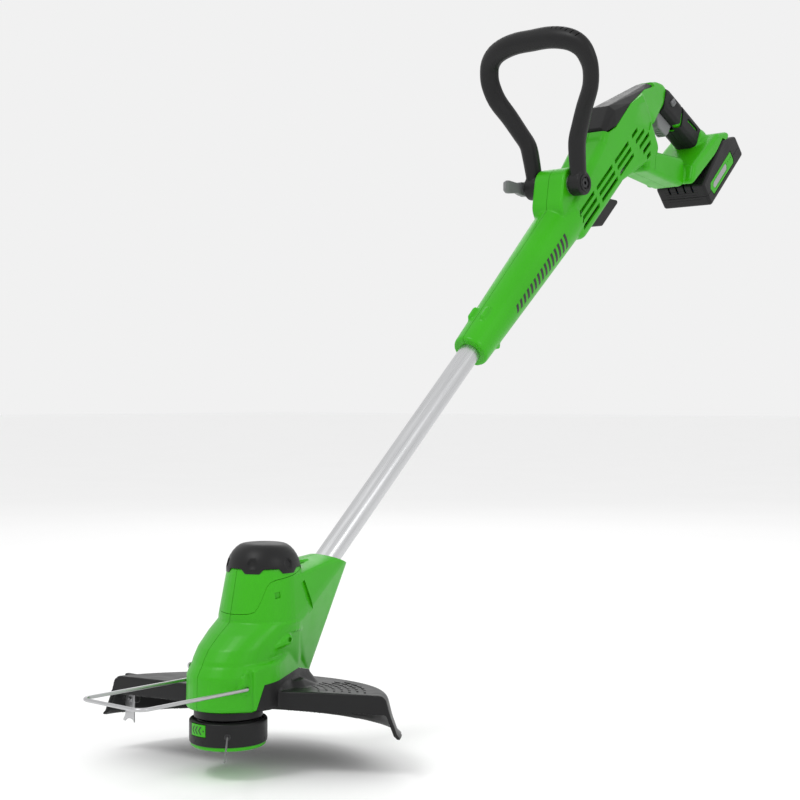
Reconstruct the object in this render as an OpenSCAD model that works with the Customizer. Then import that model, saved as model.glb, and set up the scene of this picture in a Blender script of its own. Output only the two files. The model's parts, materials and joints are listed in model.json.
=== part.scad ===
// Battery string trimmer, drawn in millimetres with +Z up.
// The origin is the middle of the spool's lower face: the spool turns about Z,
// +X points back towards the user and Y = 0 is the plane of symmetry.

/* [Shaft] */
// Angle of the shaft above the ground, in degrees
shaft_angle = 42.3; // [41.5:0.1:43]
// Outer diameter of the aluminium tube
tube_d = 25; // [24.6:0.1:25]
// Wall of the aluminium tube
tube_wall = 1.2; // [1:0.1:2]
// Bare tube between the head and the handle housing
tube_gap = 322; // [300:1:340]

/* [Cutting head] */
// Outer diameter of the spool housing
spool_d = 76; // [74:0.5:76]
// Diameter that the line sweeps
cut_d = 276; // [240:1:278]
// Diameter of the cutting line
line_d = 1.65; // [1.3:0.05:2]
// Wall of the green casings
wall = 2.5; // [2:0.1:3]

/* [Guards] */
// Radius of the guard at its rolled rim
guard_r = 156; // [150:1:156]
// Fall of the guard towards the back, in degrees
guard_tilt = 4; // [3:0.1:4]
// Diameter of the steel wire of the edge guard
wire_d = 3.6; // [3:0.1:3.8]
// Reach of the wire edge guard in front of the spool axis
wire_reach = 145; // [142:1:160]

/* [Handles] */
// Half the greatest width of the loop handle, at the middle of its tube
loop_half = 75; // [65:1:80]
// Height of the loop handle above its pivot, measured along the loop
loop_height = 181; // [175:1:190]
// Half thickness of the handle housing
body_half = 26; // [25:0.5:27]

/* [Battery] */
// Width of the battery pack
pack_w = 76; // [74:1:78]

/* [Hidden] */
$fn = 64;
hull_fn = 32;
tiny = 0.1;

// Places on the head
socket_x = 142;
socket_z = 172;
head_floor = 36;
tower_x = 44;
tower_top_x = 47.5;
tower_top_z = 164;
motor_x = 48;
wire_x = -13;
wire_z = 60;
line_angle = -134.4;
line_z = 14.5;
tab_angle = 176.6;
tab_w = 20;
tab_h = 12;
tab_z = 13.2;
spool_r = spool_d / 2;
// Corner points of the zone at the lower back that belongs to the guard, as [x, z]
saddle_zone = [[-6, 20], [-6, 35.6], [5.7, 61.8], [72.9, 67.6], [112, 58], [112, 20]];

// Gears: module 1.5, 17 teeth driving 47, 48 mm between centres
gear_module = 1.5;
pinion_teeth = 17;
gear_teeth = 47;
gear_z = 46;
gear_h = 9;

// Places on the handle end, as [along the shaft, across the shaft]
nominal_gap = 322;
pivot = [598, 38];
trigger_at = [862, -22];
lock_at = [877, -28];
lock_w = 10;
lock_h = 8;
grip_top = [870, -26];
grip_end = [908, -112];
pack_front = 838;
pack_back = 962;
pack_floor = -177;
pack_seam = -138;
blade_rows = [-18, -6, 6, 18];

green = [0.28, 0.73, 0.09];
black = [0.18, 0.18, 0.18];
steel = [0.72, 0.73, 0.75];
grey = [0.5, 0.5, 0.5];

// ---------- shared shapes ----------

// The shaft's own frame: X along the tube, Y across, Z square to the tube
module on_shaft() {
    translate([socket_x, 0, socket_z]) rotate([0, -shaft_angle, 0]) children();
}

// The handle's frame: the shaft's frame, moved when the bare tube gets longer
module on_handle() {
    on_shaft() translate([tube_gap - nominal_gap, 0, 0]) children();
}

// A plate with the given side outline, centred on Y = 0
module side_plate(points, half) {
    rotate([90, 0, 0]) linear_extrude(2 * half, center = true) polygon(points);
}

// A cylinder along Y through [x, z], from y0 to y1
module across(p, r, y0, y1) {
    translate([p[0], y0, p[1]]) rotate([-90, 0, 0]) cylinder(r = r, h = y1 - y0);
}

// A rounded block round a list of [x, z] points, with its long edges eased by c
module rounded_block(points, r, half, c) {
    hull() for (p = points) {
        across(p, r, c - half, half - c, $fn = hull_fn);
        across(p, r - c, -half, half, $fn = hull_fn);
    }
}

module half_space(side) {
    big = 4000;
    translate([-big / 2, side > 0 ? 0 : -big, -big / 2]) cube(big);
}

function unit(v) = v / norm(v);
function heading(path, i) = unit(path[min(i + 1, len(path) - 1)] - path[max(i - 1, 0)]);

// An oval tube along a path. Each oval is [half width, half depth, turn], and up is
// a direction that the path never follows.
module sweep(path, ovals, up, sides) {
    last = len(path) - 1;
    points = [
        for (i = [0:last])
        let (
            t = heading(path, i), w = unit(cross(up, t)), d = cross(t, w), o = ovals[i],
            wide = w * cos(o[2]) + d * sin(o[2]), deep = d * cos(o[2]) - w * sin(o[2])
        )
        for (k = [0:sides - 1])
        path[i] + wide * o[0] * cos(360 * k / sides) + deep * o[1] * sin(360 * k / sides)
    ];
    walls = [
        for (i = [0:last - 1]) for (k = [0:sides - 1])
        let (next = (k + 1) % sides)
        [i * sides + k, (i + 1) * sides + k, (i + 1) * sides + next, i * sides + next]
    ];
    start = [[for (k = [0:sides - 1]) k]];
    end = [[for (k = [sides - 1:-1:0]) last * sides + k]];
    polyhedron(points, concat(start, walls, end), convexity = 8);
}

// A coil spring standing on Z = 0
module coil_spring(r, wire, height, turns) {
    steps = 14;
    rise = (height - wire) / (turns * steps);
    path = [
        for (i = [0:turns * steps])
        [r * cos(360 * i / steps), r * sin(360 * i / steps), wire / 2 + i * rise]
    ];
    sweep(path, [for (p = path) [wire / 2, wire / 2, 0]], [0, 0, 1], 6);
}

module screw(length, head_r, shank_r) {
    cylinder(r = shank_r, h = length + tiny);
    translate([0, 0, length]) difference() {
        cylinder(r = head_r, h = 2.2);
        translate([0, 0, 1]) cylinder(r = head_r / 2, h = 2, $fn = 6);
    }
}

// A spur gear with straight-sided teeth thinned for running clearance
module spur_gear(teeth, height, bore) {
    pitch_r = gear_module * teeth / 2;
    root_r = pitch_r - 1.3 * gear_module;
    tip_r = pitch_r + 0.9 * gear_module;
    step = 360 / teeth;
    outline = [
        for (i = [0:teeth - 1])
        let (a = i * step)
        each [
            [root_r * cos(a - step * 0.30), root_r * sin(a - step * 0.30)],
            [pitch_r * cos(a - step * 0.20), pitch_r * sin(a - step * 0.20)],
            [tip_r * cos(a - step * 0.09), tip_r * sin(a - step * 0.09)],
            [tip_r * cos(a + step * 0.09), tip_r * sin(a + step * 0.09)],
            [pitch_r * cos(a + step * 0.20), pitch_r * sin(a + step * 0.20)],
            [root_r * cos(a + step * 0.30), root_r * sin(a + step * 0.30)]
        ]
    ];
    difference() {
        linear_extrude(height) polygon(outline);
        translate([0, 0, -1]) cylinder(r = bore, h = height + 2);
    }
}

// ---------- cutting head casing ----------

// Gear case and shoulder; t moves every face inwards
module gear_case(t = 0) {
    hull() {
        translate([0, 0, head_floor + t]) {
            cylinder(r = 41 - t, h = 36 - t, $fn = hull_fn);
            translate([14, 0, 0]) cylinder(r = 45 - t, h = 38 - t, $fn = hull_fn);
            translate([90, 0, 0]) cylinder(r = 16 - t, h = 41 - t, $fn = hull_fn);
        }
        translate([24, 0, 100 - t]) cylinder(r = 45 - t, h = tiny, $fn = hull_fn);
        translate([tower_x, 0, 118 - t]) cylinder(r = 43.5 - t, h = tiny, $fn = hull_fn);
    }
}

// Motor tower; t moves the wall inwards
module motor_tower(t = 0) {
    hull() {
        translate([tower_x, 0, 112]) cylinder(r = 43 - t, h = 8, $fn = hull_fn);
        translate([tower_top_x, 0, tower_top_z - tiny])
            cylinder(r = 36.8 - t, h = tiny + t / 10, $fn = hull_fn);
    }
}

// Web that joins the tower to the shaft socket; t moves every face inwards
module socket_web(t = 0) {
    hull() {
        translate([90, 0, 60 + t]) cylinder(r = 16 - t, h = 17, $fn = hull_fn);
        translate([tower_x + 1, 0, 113]) cylinder(r = 41.6 - t, h = 6, $fn = hull_fn);
        translate([tower_top_x, 0, 157 - t]) cylinder(r = 36.8 - t, h = tiny, $fn = hull_fn);
        on_shaft() translate([-2 - t, 0, -1.5]) rotate([0, -29, 0]) rotate([0, 90, 0])
            cylinder(r = 20 - t, h = tiny, $fn = hull_fn);
    }
}

head_bosses = [[-22, 76, 32], [84, 70, 19], [116, 118, 17]];

module head_shell(side) {
    color(green) intersection() {
        difference() {
            union() {
                difference() {
                    union() { gear_case(); motor_tower(); socket_web(); }
                    union() { gear_case(wall); motor_tower(wall); socket_web(wall); }
                }
                for (b = head_bosses) across([b[0], b[1]], 4, -b[2], b[2]);
                on_shaft() rotate([0, -90, 0]) cylinder(r = 17, h = 30);
            }
            on_shaft() translate([-31, 0, 0]) rotate([0, 90, 0]) cylinder(d = tube_d + 0.02, h = 60);
            side_plate(saddle_zone, 60);
            translate([0, 0, head_floor - 1]) cylinder(r = 12, h = 10);
            across([wire_x, wire_z], wire_d / 2 + 0.4, -60, 60);
            for (b = head_bosses) {
                across([b[0], b[1]], 1.6, -b[2] + 3, b[2] + 20);
                across([b[0], b[1]], 3.6, b[2] - 3, b[2] + 20);
            }
            translate([tower_top_x, 0, tower_top_z - tiny]) cylinder(r = 37, h = 40);
            on_shaft() translate([-30, 0, 0]) rotate([0, 90, 0]) cylinder(r = 3.5, h = 40, center = true);
        }
        half_space(side);
    }
}

module head_shell_left() head_shell(-1);
module head_shell_right() head_shell(1);

module motor_cap() {
    cap_r = 36.6;
    flat_r = 21;
    cap_h = 29;
    skin = 2.2;
    outer = [for (a = [0:10:90]) [flat_r + (cap_r - flat_r) * cos(a), cap_h * sin(a)]];
    inner = [for (a = [90:-10:0]) [flat_r + (cap_r - skin - flat_r) * cos(a), (cap_h - skin) * sin(a)]];
    color(black) translate([tower_top_x, 0, tower_top_z]) difference() {
        rotate_extrude() polygon(concat(outer, [[0, cap_h], [0, cap_h - skin]], inner));
        for (a = [0:60:300]) rotate([0, 0, a - 152]) translate([cap_r, 0, 5])
            rotate([0, 90, 0]) cylinder(r = 4.6, h = 14, center = true, $fn = 6);
    }
}

module head_screws() {
    color(steel) for (b = head_bosses)
        across_screw([b[0], b[1]], b[2] - 3, 16);
}

// A screw driven from +Y whose head sits at y
module across_screw(p, y, length) {
    translate([p[0], y - length, p[1]]) rotate([-90, 0, 0]) screw(length, 3.2, 1.55);
}

// ---------- drive ----------

module gearbox_plate() {
    color(grey) translate([0, 0, 60]) difference() {
        union() {
            cylinder(r = 14, h = 3);
            translate([motor_x, 0, 0]) cylinder(r = 26, h = 3);
            translate([0, -10, 0]) cube([motor_x, 20, 3]);
        }
        translate([0, 0, -1]) cylinder(r = 9, h = 5);
        translate([motor_x, 0, -1]) cylinder(r = 5, h = 5);
    }
}

module motor_can() {
    color(steel) translate([motor_x, 0, 63]) difference() {
        cylinder(r = 22, h = 66);
        translate([0, 0, 2]) cylinder(r = 20.8, h = 60);
        translate([0, 0, -1]) cylinder(r = 2.55, h = 70);
    }
}

module motor_magnets() {
    color(black) translate([motor_x, 0, 72]) difference() {
        cylinder(r = 20.8, h = 44);
        translate([0, 0, -1]) cylinder(r = 17, h = 46);
        translate([0, 0, 22]) cube([12, 60, 60], center = true);
    }
}

module motor_rotor() {
    color("peru") translate([motor_x, 0, 0]) {
        translate([0, 0, gear_z]) cylinder(r = 2.5, h = 98);
        translate([0, 0, 74]) difference() {
            cylinder(r = 16, h = 40);
            for (a = [0:45:315]) rotate([0, 0, a]) translate([16, 0, 20])
                cube([12, 3, 60], center = true);
        }
        translate([0, 0, 118]) cylinder(r = 6, h = 7);
    }
}

module motor_pinion() {
    color("gold") translate([motor_x, 0, gear_z]) spur_gear(pinion_teeth, gear_h, 2.5);
}

module motor_fan() {
    color(grey) translate([motor_x, 0, 134]) {
        difference() {
            cylinder(r = 6, h = 10);
            translate([0, 0, -1]) cylinder(r = 2.5, h = 12);
        }
        for (a = [0:40:320]) rotate([0, 0, a]) translate([5.5, -0.7, 0]) cube([18, 1.4, 9]);
        difference() {
            translate([0, 0, -1.5]) cylinder(r = 23.5, h = 1.6);
            translate([0, 0, -3]) cylinder(r = 5.5, h = 6);
        }
    }
}

module drive_gear() {
    color("ivory") translate([0, 0, gear_z]) spur_gear(gear_teeth, gear_h, 5);
}

module output_spindle() {
    color(steel) translate([0, 0, 9]) cylinder(r = 5, h = 56);
}

module bearing(inner, outer, height) {
    color(steel) rotate_extrude() polygon([
        [inner, 0], [outer, 0], [outer, height], [inner, height]
    ]);
}

module bearing_lower() translate([0, 0, head_floor + 1]) bearing(5.02, 12, 8);
module bearing_upper() translate([0, 0, 58.5]) bearing(5.02, 9, 5);

module neck_ring() {
    color(black) translate([0, 0, 29]) difference() {
        cylinder(r = 33.5, h = head_floor - 29);
        translate([0, 0, -1]) cylinder(r = 30.5, h = 6);
        translate([0, 0, -1]) cylinder(r = 12, h = 12);
    }
}

// ---------- spool ----------

module spool_housing() {
    top = 27;
    inner_r = spool_r - wall;
    profile = [
        [5, 21], [9, 21], [9, top - wall], [30.2, top - wall], [30.2, 22], [32.2, 22],
        [32.2, top - wall], [inner_r - 1, top - wall], [inner_r, top - wall - 1],
        [inner_r, 4], [spool_r - 0.8, 4], [spool_r, 7], [spool_r, top - 2],
        [spool_r - 2, top], [12, top], [12, 33], [5, 33]
    ];
    color(black) difference() {
        rotate_extrude() polygon(profile);
        for (a = [0, 180]) rotate([0, 0, tab_angle + a]) translate([spool_r, 0, tab_z + tab_h / 2])
            cube([14, tab_w + 0.6, tab_h + 0.6], center = true);
        rotate([0, 0, line_angle]) translate([spool_r, 0, line_z])
            rotate([0, 90, 0]) cylinder(r = 3, h = 12, center = true);
    }
}

module line_eyelet() {
    color(steel) rotate([0, 0, line_angle]) translate([spool_r - wall, 0, line_z])
        rotate([0, 90, 0]) difference() {
            cylinder(r = 3, h = wall);
            translate([0, 0, -1]) cylinder(r = 1.5, h = wall + 2);
        }
}

module line_spool() {
    flange_r = 32;
    color(grey) translate([0, 0, 7.5]) rotate_extrude() polygon([
        [9.5, 0], [flange_r, 0], [flange_r, 1.6], [13, 1.6],
        [13, 12.4], [flange_r, 12.4], [flange_r, 14], [9.5, 14]
    ]);
}

module wound_line() {
    color("orange") translate([0, 0, 9.3]) rotate_extrude() polygon(concat(
        [[13.2, 0], [13.2, 10.4]],
        [for (i = [6:-1:0]) each [[29 - 0.3, 0.75 + 1.49 * i + 0.5], [29, 0.75 + 1.49 * i]]],
        [[28.6, 0]]
    ));
}

module cutting_line() {
    color("orange") rotate([0, 0, line_angle]) translate([30, 0, line_z])
        rotate([0, 90, 0]) cylinder(d = line_d, h = cut_d / 2 - 30);
}

module spool_cover() {
    cover_r = 36.5;
    color(green) rotate_extrude() polygon([
        [0, 0], [cover_r - 2, 0], [cover_r, 1.6], [cover_r, 4], [8.5, 4],
        [8.5, 6], [6.5, 6], [6.5, 4], [0, 4]
    ]);
}

module spool_spring() {
    color(steel) translate([0, 0, 4]) coil_spring(5.8, 0.9, 17, 6);
}

module latch_tab(turn) {
    color(green) rotate([0, 0, tab_angle + turn]) difference() {
        intersection() {
            translate([0, 0, tab_z]) difference() {
                cylinder(r = spool_r + 0.4, h = tab_h);
                translate([0, 0, -1]) cylinder(r = spool_r - wall - 0.2, h = tab_h + 2);
            }
            translate([0, -tab_w / 2, 0]) cube([60, tab_w, 40]);
        }
        for (k = [-1:1]) translate([spool_r + 0.4, k * 5, tab_z + tab_h / 2])
            for (tilt = [-38, 38]) rotate([tilt, 0, 0])
                translate([0, 0, tilt > 0 ? -2 : 2]) cube([1.6, 1.5, 5.4], center = true);
    }
}

module latch_tab_front() latch_tab(0);
module latch_tab_rear() latch_tab(180);

module tab_springs() {
    color(steel) for (a = [0, 180]) rotate([0, 0, tab_angle + a])
        translate([32.4, 0, 23.2]) rotate([0, 90, 0]) coil_spring(0.9, 0.4, 2.8, 3);
}

// ---------- guards ----------

module guard_pan() {
    first = -58;
    sweep_angle = 154;
    thick = 2.8;
    roll = [for (a = [0:15:75]) [guard_r - 7 + 7 * sin(a), -7 + 7 * cos(a)]];
    inner_roll = [for (a = [75:-15:0]) [guard_r - 7 + 4.2 * sin(a), -7 + 4.2 * cos(a)]];
    skirt = [[guard_r + 12, -39.5], [guard_r + 14.5, -40.4], [guard_r + 14.5, -41], [guard_r + 9.5, -41]];
    profile = concat([[44, 0]], roll, skirt, inner_roll, [[44, -thick]]);
    translate([0, 0, 53.5]) rotate([0, 0, 19]) rotate([0, guard_tilt, 0]) rotate([0, 0, -19]) {
        rotate([0, 0, first]) rotate_extrude(angle = sweep_angle) polygon(profile);
        rotate([0, 0, first + 0.3]) translate([44, 0, -17.5]) cube([guard_r - 49, 2.6, 16.1]);
        rotate([0, 0, first + sweep_angle - 0.3]) translate([44, -2.6, -17.5])
            cube([guard_r - 49, 2.6, 16.1]);
        for (a = [-36:18:72]) rotate([0, 0, a]) translate([100, -1.2, -10]) cube([guard_r - 102, 2.4, 9]);
    }
}

module guard() {
    color(black) {
        difference() {
            union() {
                difference() {
                    guard_pan();
                    translate([-40, -45.3, 30]) cube([46.2, 90.6, 40]);
                }
                intersection() { gear_case(); side_plate(saddle_zone, 60); }
            }
            gear_case(wall);
            translate([0, 0, head_floor - 20]) cylinder(r = 12, h = 40);
            translate([0, 0, -1]) cylinder(r = 42, h = head_floor + 1);
            translate([84, 20, 70]) rotate([90, 0, 0]) cylinder(r = 4.3, h = 40);
        }
        translate([0.5, 139, 21]) cube([6, 20, 31]);
    }
}

module cutter_blade() {
    half_w = 7;
    points = [
        [141, 34], [155, 34], [155, 9], [159, 2.5], [156, 1.3], [148, 5], [141, 1.3]
    ];
    color(steel) difference() {
        translate([0.5, 0, 0]) rotate([90, 0, -90]) mirror([1, 0, 0])
            linear_extrude(1.5) polygon(points);
        for (z = [24.5, 30.5]) translate([-3, 141 + half_w, z]) rotate([0, 90, 0])
            cylinder(r = 1.7, h = 6);
    }
}

module cutter_screws() {
    color(steel) for (z = [24.5, 30.5]) translate([-1.02, 148, z]) rotate([0, -90, 0]) {
        difference() {
            cylinder(r = 2.7, h = 1.6);
            translate([0, 0, 0.8]) cylinder(r = 1.3, h = 2, $fn = 6);
        }
        translate([0, 0, -1.5]) cylinder(r = 1.6, h = 1.6);
    }
}

// A quarter turn in the XY plane, as a list of points at one height
function quarter(cx, cy, r, from, to, z) =
    [for (i = [0:5]) let (a = from + (to - from) * i / 5) [cx + r * cos(a), cy + r * sin(a), z]];

module wire_guard() {
    arm_y = 42.3;
    bend = 3.5;
    corner = 10;
    side = concat(
        [[wire_x, 34.5, wire_z]],
        quarter(wire_x - bend, arm_y - bend, bend, 0, 90, wire_z),
        [for (x = [-30:-15:-120]) [x, arm_y, wire_z]],
        quarter(corner - wire_reach, arm_y - corner, corner, 90, 180, wire_z)
    );
    other = [for (i = [len(side) - 1:-1:0]) [side[i][0], -side[i][1], side[i][2]]];
    middle = [for (y = [20:-10:-20]) [-wire_reach, y, wire_z]];
    path = concat(side, middle, other);
    color(steel) sweep(path, [for (p = path) [wire_d / 2, wire_d / 2, 0]], [0, 0, 1], 12);
}

// ---------- shaft ----------

module shaft_tube() {
    color(steel) on_shaft() translate([-28, 0, 0]) rotate([0, 90, 0]) difference() {
        cylinder(d = tube_d, h = tube_gap + 68);
        translate([0, 0, -1]) cylinder(d = tube_d - 2 * tube_wall, h = tube_gap + 70);
    }
}

module power_lead() {
    color("dimgray") on_shaft() translate([-44, 0, 0]) rotate([0, 90, 0])
        cylinder(d = 6, h = tube_gap + 436);
}

// ---------- handle housing ----------

// Lower barrel, a cone that grips the tube
module barrel() {
    translate([326, 0, 0]) rotate([0, 90, 0]) cylinder(r1 = 21.6, r2 = 29.4, h = 256);
    translate([322, 0, 0]) rotate([0, 90, 0]) cylinder(r1 = 19.5, r2 = 22, h = 6);
}

body_front = [[580, 8], [580, -16], [690, 26], [690, -16]];
body_rear = [[704, 33], [742, 42], [800, 26], [786, -38], [700, -16]];
bridge = [[762, -52], [776, -44], [834, -98], [816, -116]];
foot_outline = [[824, -122], [840, -111], [850, -120], [922, -118], [944, -131]];

// The part of the body that narrows towards the top of the grip
module nose() {
    ease = 5;
    r = 9;
    ends = [[796, 30, 23], [812, -10, 23], [851, 13, 14], [866, 4, 14], [874, -4, 14], [876, -11, 14]];
    hull() for (p = ends) {
        across([p[0], p[1]], r, ease - p[2], p[2] - ease, $fn = hull_fn);
        across([p[0], p[1]], r - ease, -p[2], p[2], $fn = hull_fn);
    }
}

module housing_form() {
    barrel();
    rounded_block(body_front, 14, body_half, 6);
    rounded_block(body_rear, 14, body_half, 6);
    nose();
    rounded_block(bridge, 7, 24, 4);
    rounded_block([grip_top, grip_end], 16, 15.5, 8);
    rounded_block(foot_outline, 5, pack_w / 2, 3);
    rounded_block([[578, 22], [600, 38]], 20, 22.6, 1.5);
}

// The hollow inside the casing, as one side outline for each width
module housing_hollow() {
    body_line = [
        [590, 22], [700, 42], [742, 52], [800, 34], [800, -8], [790, -44],
        [776, -48], [700, -26], [590, -24]
    ];
    side_plate(body_line, body_half - wall);
    side_plate([[780, 20], [860, 4], [882, -10], [882, -14], [790, -14]], 14 - wall);
    side_plate([[764, -50], [778, -42], [838, -98], [832, -112], [812, -114]], 24 - wall);
    side_plate([[866, -10], [884, -10], [918, -116], [896, -116], [858, -26]], 13);
    side_plate([[826, -122], [840, -114], [924, -116], [944, -130], [930, -133], [834, -134]],
        pack_w / 2 - wall);
    translate([360, 0, 0]) rotate([0, 90, 0]) cylinder(r1 = 19, r2 = 26, h = 232);
}

// Slots that let the motor's cooling air in, four groups on each side
module vents() {
    slot_h = 4.6;
    for (g = [0:2], row = [0:2])
        translate([577 + 57 * g, -40, 1.5 - 9.5 * row]) cube([51 - 5 * (g == 2 ? 1 : 0), 80, slot_h]);
    for (row = [0:4])
        translate([747 + 3 * row, -40, 2 - 10.5 * row]) cube([[20, 30, 34, 27, 14][row], 80, slot_h]);
}

top_cover_zone = [
    [690, 70], [706, 40], [724, 35.5], [775, 38], [828, 26], [850, 15.5], [857, 13], [862, 18],
    [866, 30], [850, 50], [760, 80]
];
housing_bosses = [[612, -23, 25], [702, 20, 25], [798, 4, 25], [772, -58, 23], [350, -17, 12]];

module housing(side) {
    color(green) intersection() {
        on_handle() difference() {
            union() {
                difference() {
                    housing_form();
                    housing_hollow();
                }
                for (b = housing_bosses) across([b[0], b[1]], 4, -b[2], b[2]);
                across(pivot, 9, -22.6, 22.6);
            }
            translate([300, 0, 0]) rotate([0, 90, 0]) cylinder(d = tube_d + 0.02, h = 68);
            vents();
            side_plate(top_cover_zone, 60);
            across(pivot, 6, -40, 40);
            for (b = housing_bosses) {
                across([b[0], b[1]], 1.6, -b[2] + 3, 60);
                across([b[0], b[1]], 3.6, b[2] - 3, 60);
            }
            // window for the trigger and its sweep
            side_plate([[836, -26], [832, -40], [842, -68], [866, -70], [884, -60], [884, -30],
                [872, -14], [856, -14]], 8);
            // slot for the lock-off button
            lock_slot();
            across([trigger_at[0], trigger_at[1]], 2, -14, 14);
            // battery opening under the foot
            translate([pack_front - 6, -30, pack_seam - 12]) cube([150, 60, 16]);
            // everything below the foot belongs to the battery
            side_plate([[800, -132.5], [838, -138], [929, -125], [960, -125], [970, -200],
                [800, -200]], 60);
        }
        half_space(side);
    }
}

module housing_left() housing(-1);
module housing_right() housing(1);

module top_cover() {
    color(black) on_handle() difference() {
        intersection() {
            union() {
                rounded_block(body_rear, 14, body_half, 6);
                nose();
            }
            side_plate(top_cover_zone, 60);
        }
        side_plate([[690, 36], [742, 51], [800, 33], [846, 18], [850, 10], [828, 22], [775, 34],
            [724, 30]], body_half - wall - 5);
    }
}

module belly_cover() {
    color(black) on_handle() difference() {
        rounded_block([[604, -30], [626, -44], [672, -44], [652, -30]], 3, 18, 2);
        side_plate([[607, -30], [627, -43], [669, -43], [650, -30]], 15);
        rounded_block(body_front, 14, body_half, 6);
    }
}

module housing_screws() {
    color(steel) on_handle() for (b = housing_bosses)
        across_screw([b[0], b[1]], b[2] - 3, b[2] > 15 ? 18 : 9);
}

// ---------- loop handle ----------

arm_mid = 33;
arm_half = 9.2;

// The loop's tube from the pivot to the top, as
// [height along the loop, half width of the loop, half width, half depth and turn of the tube]
loop_side = [
    [0, arm_mid, arm_half, 11, 0], [20, arm_mid + 0.6, 9.8, 11.6, 0],
    [44, arm_mid + 2.4, 10.4, 12, 0], [56, arm_mid + 5, 10.6, 11.5, 4],
    [70, arm_mid + 12, 10.8, 10.8, 8], [93, loop_half - 18, 11.4, 9.6, 14],
    [115, loop_half - 5, 12, 8.9, 19], [135, loop_half, 12.2, 8.6, 20],
    [149, loop_half - 1, 12.4, 8.8, 16], [162, loop_half - 6, 12.8, 9.4, 12],
    [172, loop_half - 17, 13.2, 10.5, 6], [178, loop_half - 33, 13.5, 11.5, 2]
];
loop_top = [13.5, 11.8, 0];
// Forward lean of the lower arms and of the loop above their bend, in degrees
lean_low = 11;
lean_high = 20;
bend_at = 55;

function loop_point(h, y) =
    let (low = min(h, bend_at), high = max(h - bend_at, 0))
    [-low * sin(lean_low) - high * sin(lean_high), y, low * cos(lean_low) + high * cos(lean_high)];

module on_pivot() {
    on_handle() translate([pivot[0], 0, pivot[1]]) rotate([0, shaft_angle, 0]) children();
}

module aux_handle() {
    side = [for (p = loop_side) loop_point(p[0] * loop_height / 181, p[1])];
    top = [for (y = [28:-14:-28]) loop_point(loop_height, y)];
    other = [for (i = [len(side) - 1:-1:0]) [side[i][0], -side[i][1], side[i][2]]];
    ovals = concat(
        [for (p = loop_side) [p[2], p[3], p[4]]],
        [for (p = top) loop_top],
        [for (i = [len(side) - 1:-1:0]) [loop_side[i][2], loop_side[i][3], loop_side[i][4]]]
    );
    color(black) on_pivot() difference() {
        union() {
            sweep(concat(side, top, other), ovals, [1, 0, 0], 16);
            for (s = [-1, 1]) across([0, 0], 15, s * arm_mid - arm_half, s * arm_mid + arm_half);
        }
        across([0, 0], 4.1, -60, 60);
        across([0, 0], 7, -60, -arm_mid - arm_half + 5, $fn = 6);
        // flat seat of the outer washer
        across([0, 0], 11, arm_mid + arm_half - 0.1, 60);
    }
}

module pivot_bush() {
    color(steel) on_pivot() difference() {
        across([0, 0], 6, -22.6, 22.6);
        across([0, 0], 4.05, -30, 30);
    }
}

module pivot_washers() {
    color(black) on_pivot() difference() {
        union() {
            across([0, 0], 13, -23.7, -22.7);
            across([0, 0], 13, 22.7, 23.7);
            across([0, 0], 10, 42.3, 44.3);
        }
        across([0, 0], 4.1, -60, 60);
    }
}

module pivot_bolt() {
    color(steel) on_pivot() difference() {
        union() {
            across([0, 0], 4, -42, 50);
            across([0, 0], 6.6, -42, -38, $fn = 6);
            translate([0, 50, 0]) cube([9, 10, 8], center = true);
        }
        across([0, 0], 2.6, -43, -39.5, $fn = 6);
        translate([0, 51, -20]) cylinder(r = 2.05, h = 40);
    }
}

module cam_pin() {
    color(steel) on_pivot() translate([0, 51, -9]) cylinder(r = 2, h = 18);
}

module cam_lever() {
    color(grey) on_pivot() difference() {
        union() {
            translate([0, 51, -9]) cylinder(r = 6.4, h = 18);
            hull() {
                translate([-6, 51, -9]) cylinder(r = 4, h = 18, $fn = hull_fn);
                translate([-38, 53.5, -6]) cylinder(r = 2.6, h = 12, $fn = hull_fn);
            }
        }
        translate([0, 51, -20]) cylinder(r = 2.05, h = 40);
        translate([2.4, 51, 0]) cube([18, 20, 8.6], center = true);
    }
}

// ---------- rear handle ----------

module grip_pad(side) {
    color(black) intersection() {
        on_handle() difference() {
            rounded_block([[870, -20], [904, -104]], 18.4, 17.6, 8);
            rounded_block([grip_top, grip_end], 16, 15.5, 8);
            side_plate([[820, -20], [830, -70], [868, -72], [882, -62], [884, -30], [870, -14]], 8.2);
            lock_slot();
            // blind pocket that clears the trigger's pin
            across([trigger_at[0], trigger_at[1]], 2.4, -14.6, 14.6);
            nose();
            rounded_block(foot_outline, 5, pack_w / 2, 3);
            side_plate([[800, 30], [806, -14], [846, -31], [852, -26], [862, -14], [884, -5],
                [900, -2], [910, 30]], 40);
        }
        half_space(side);
    }
}

module grip_pad_left() grip_pad(-1);
module grip_pad_right() grip_pad(1);

// Guide slot of the lock-off button, open on the left flank only
module lock_slot() {
    play = 0.4;
    translate([lock_at[0] - lock_w / 2 - play, -40, lock_at[1] - lock_h / 2 - play])
        cube([lock_w + 2 * play, 52.8, lock_h + 2 * play]);
}

module trigger() {
    outline = [
        [857, -19], [845, -26], [838, -40], [846, -62], [856, -63], [868, -59], [874, -50],
        [869, -34], [867, -20], [862, -17]
    ];
    color(grey) on_handle() difference() {
        side_plate(outline, 7.4);
        across([trigger_at[0], trigger_at[1]], 2.03, -20, 20);
    }
}

module trigger_pin() {
    color(steel) on_handle() across([trigger_at[0], trigger_at[1]], 2, -14, 14);
}

module trigger_spring() {
    color(steel) on_handle() translate([873.3, 0, -44]) rotate([0, 90, 0])
        coil_spring(2.4, 0.7, 11.2, 5);
}

module lock_button() {
    color(grey) on_handle()
        translate([lock_at[0] - lock_w / 2, -20.5, lock_at[1] - lock_h / 2]) difference() {
            cube([lock_w, 28, lock_h]);
            for (k = [0:2]) translate([1.8 + 2.7 * k, -tiny, -1]) cube([1, 0.7, 12]);
        }
}

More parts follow.
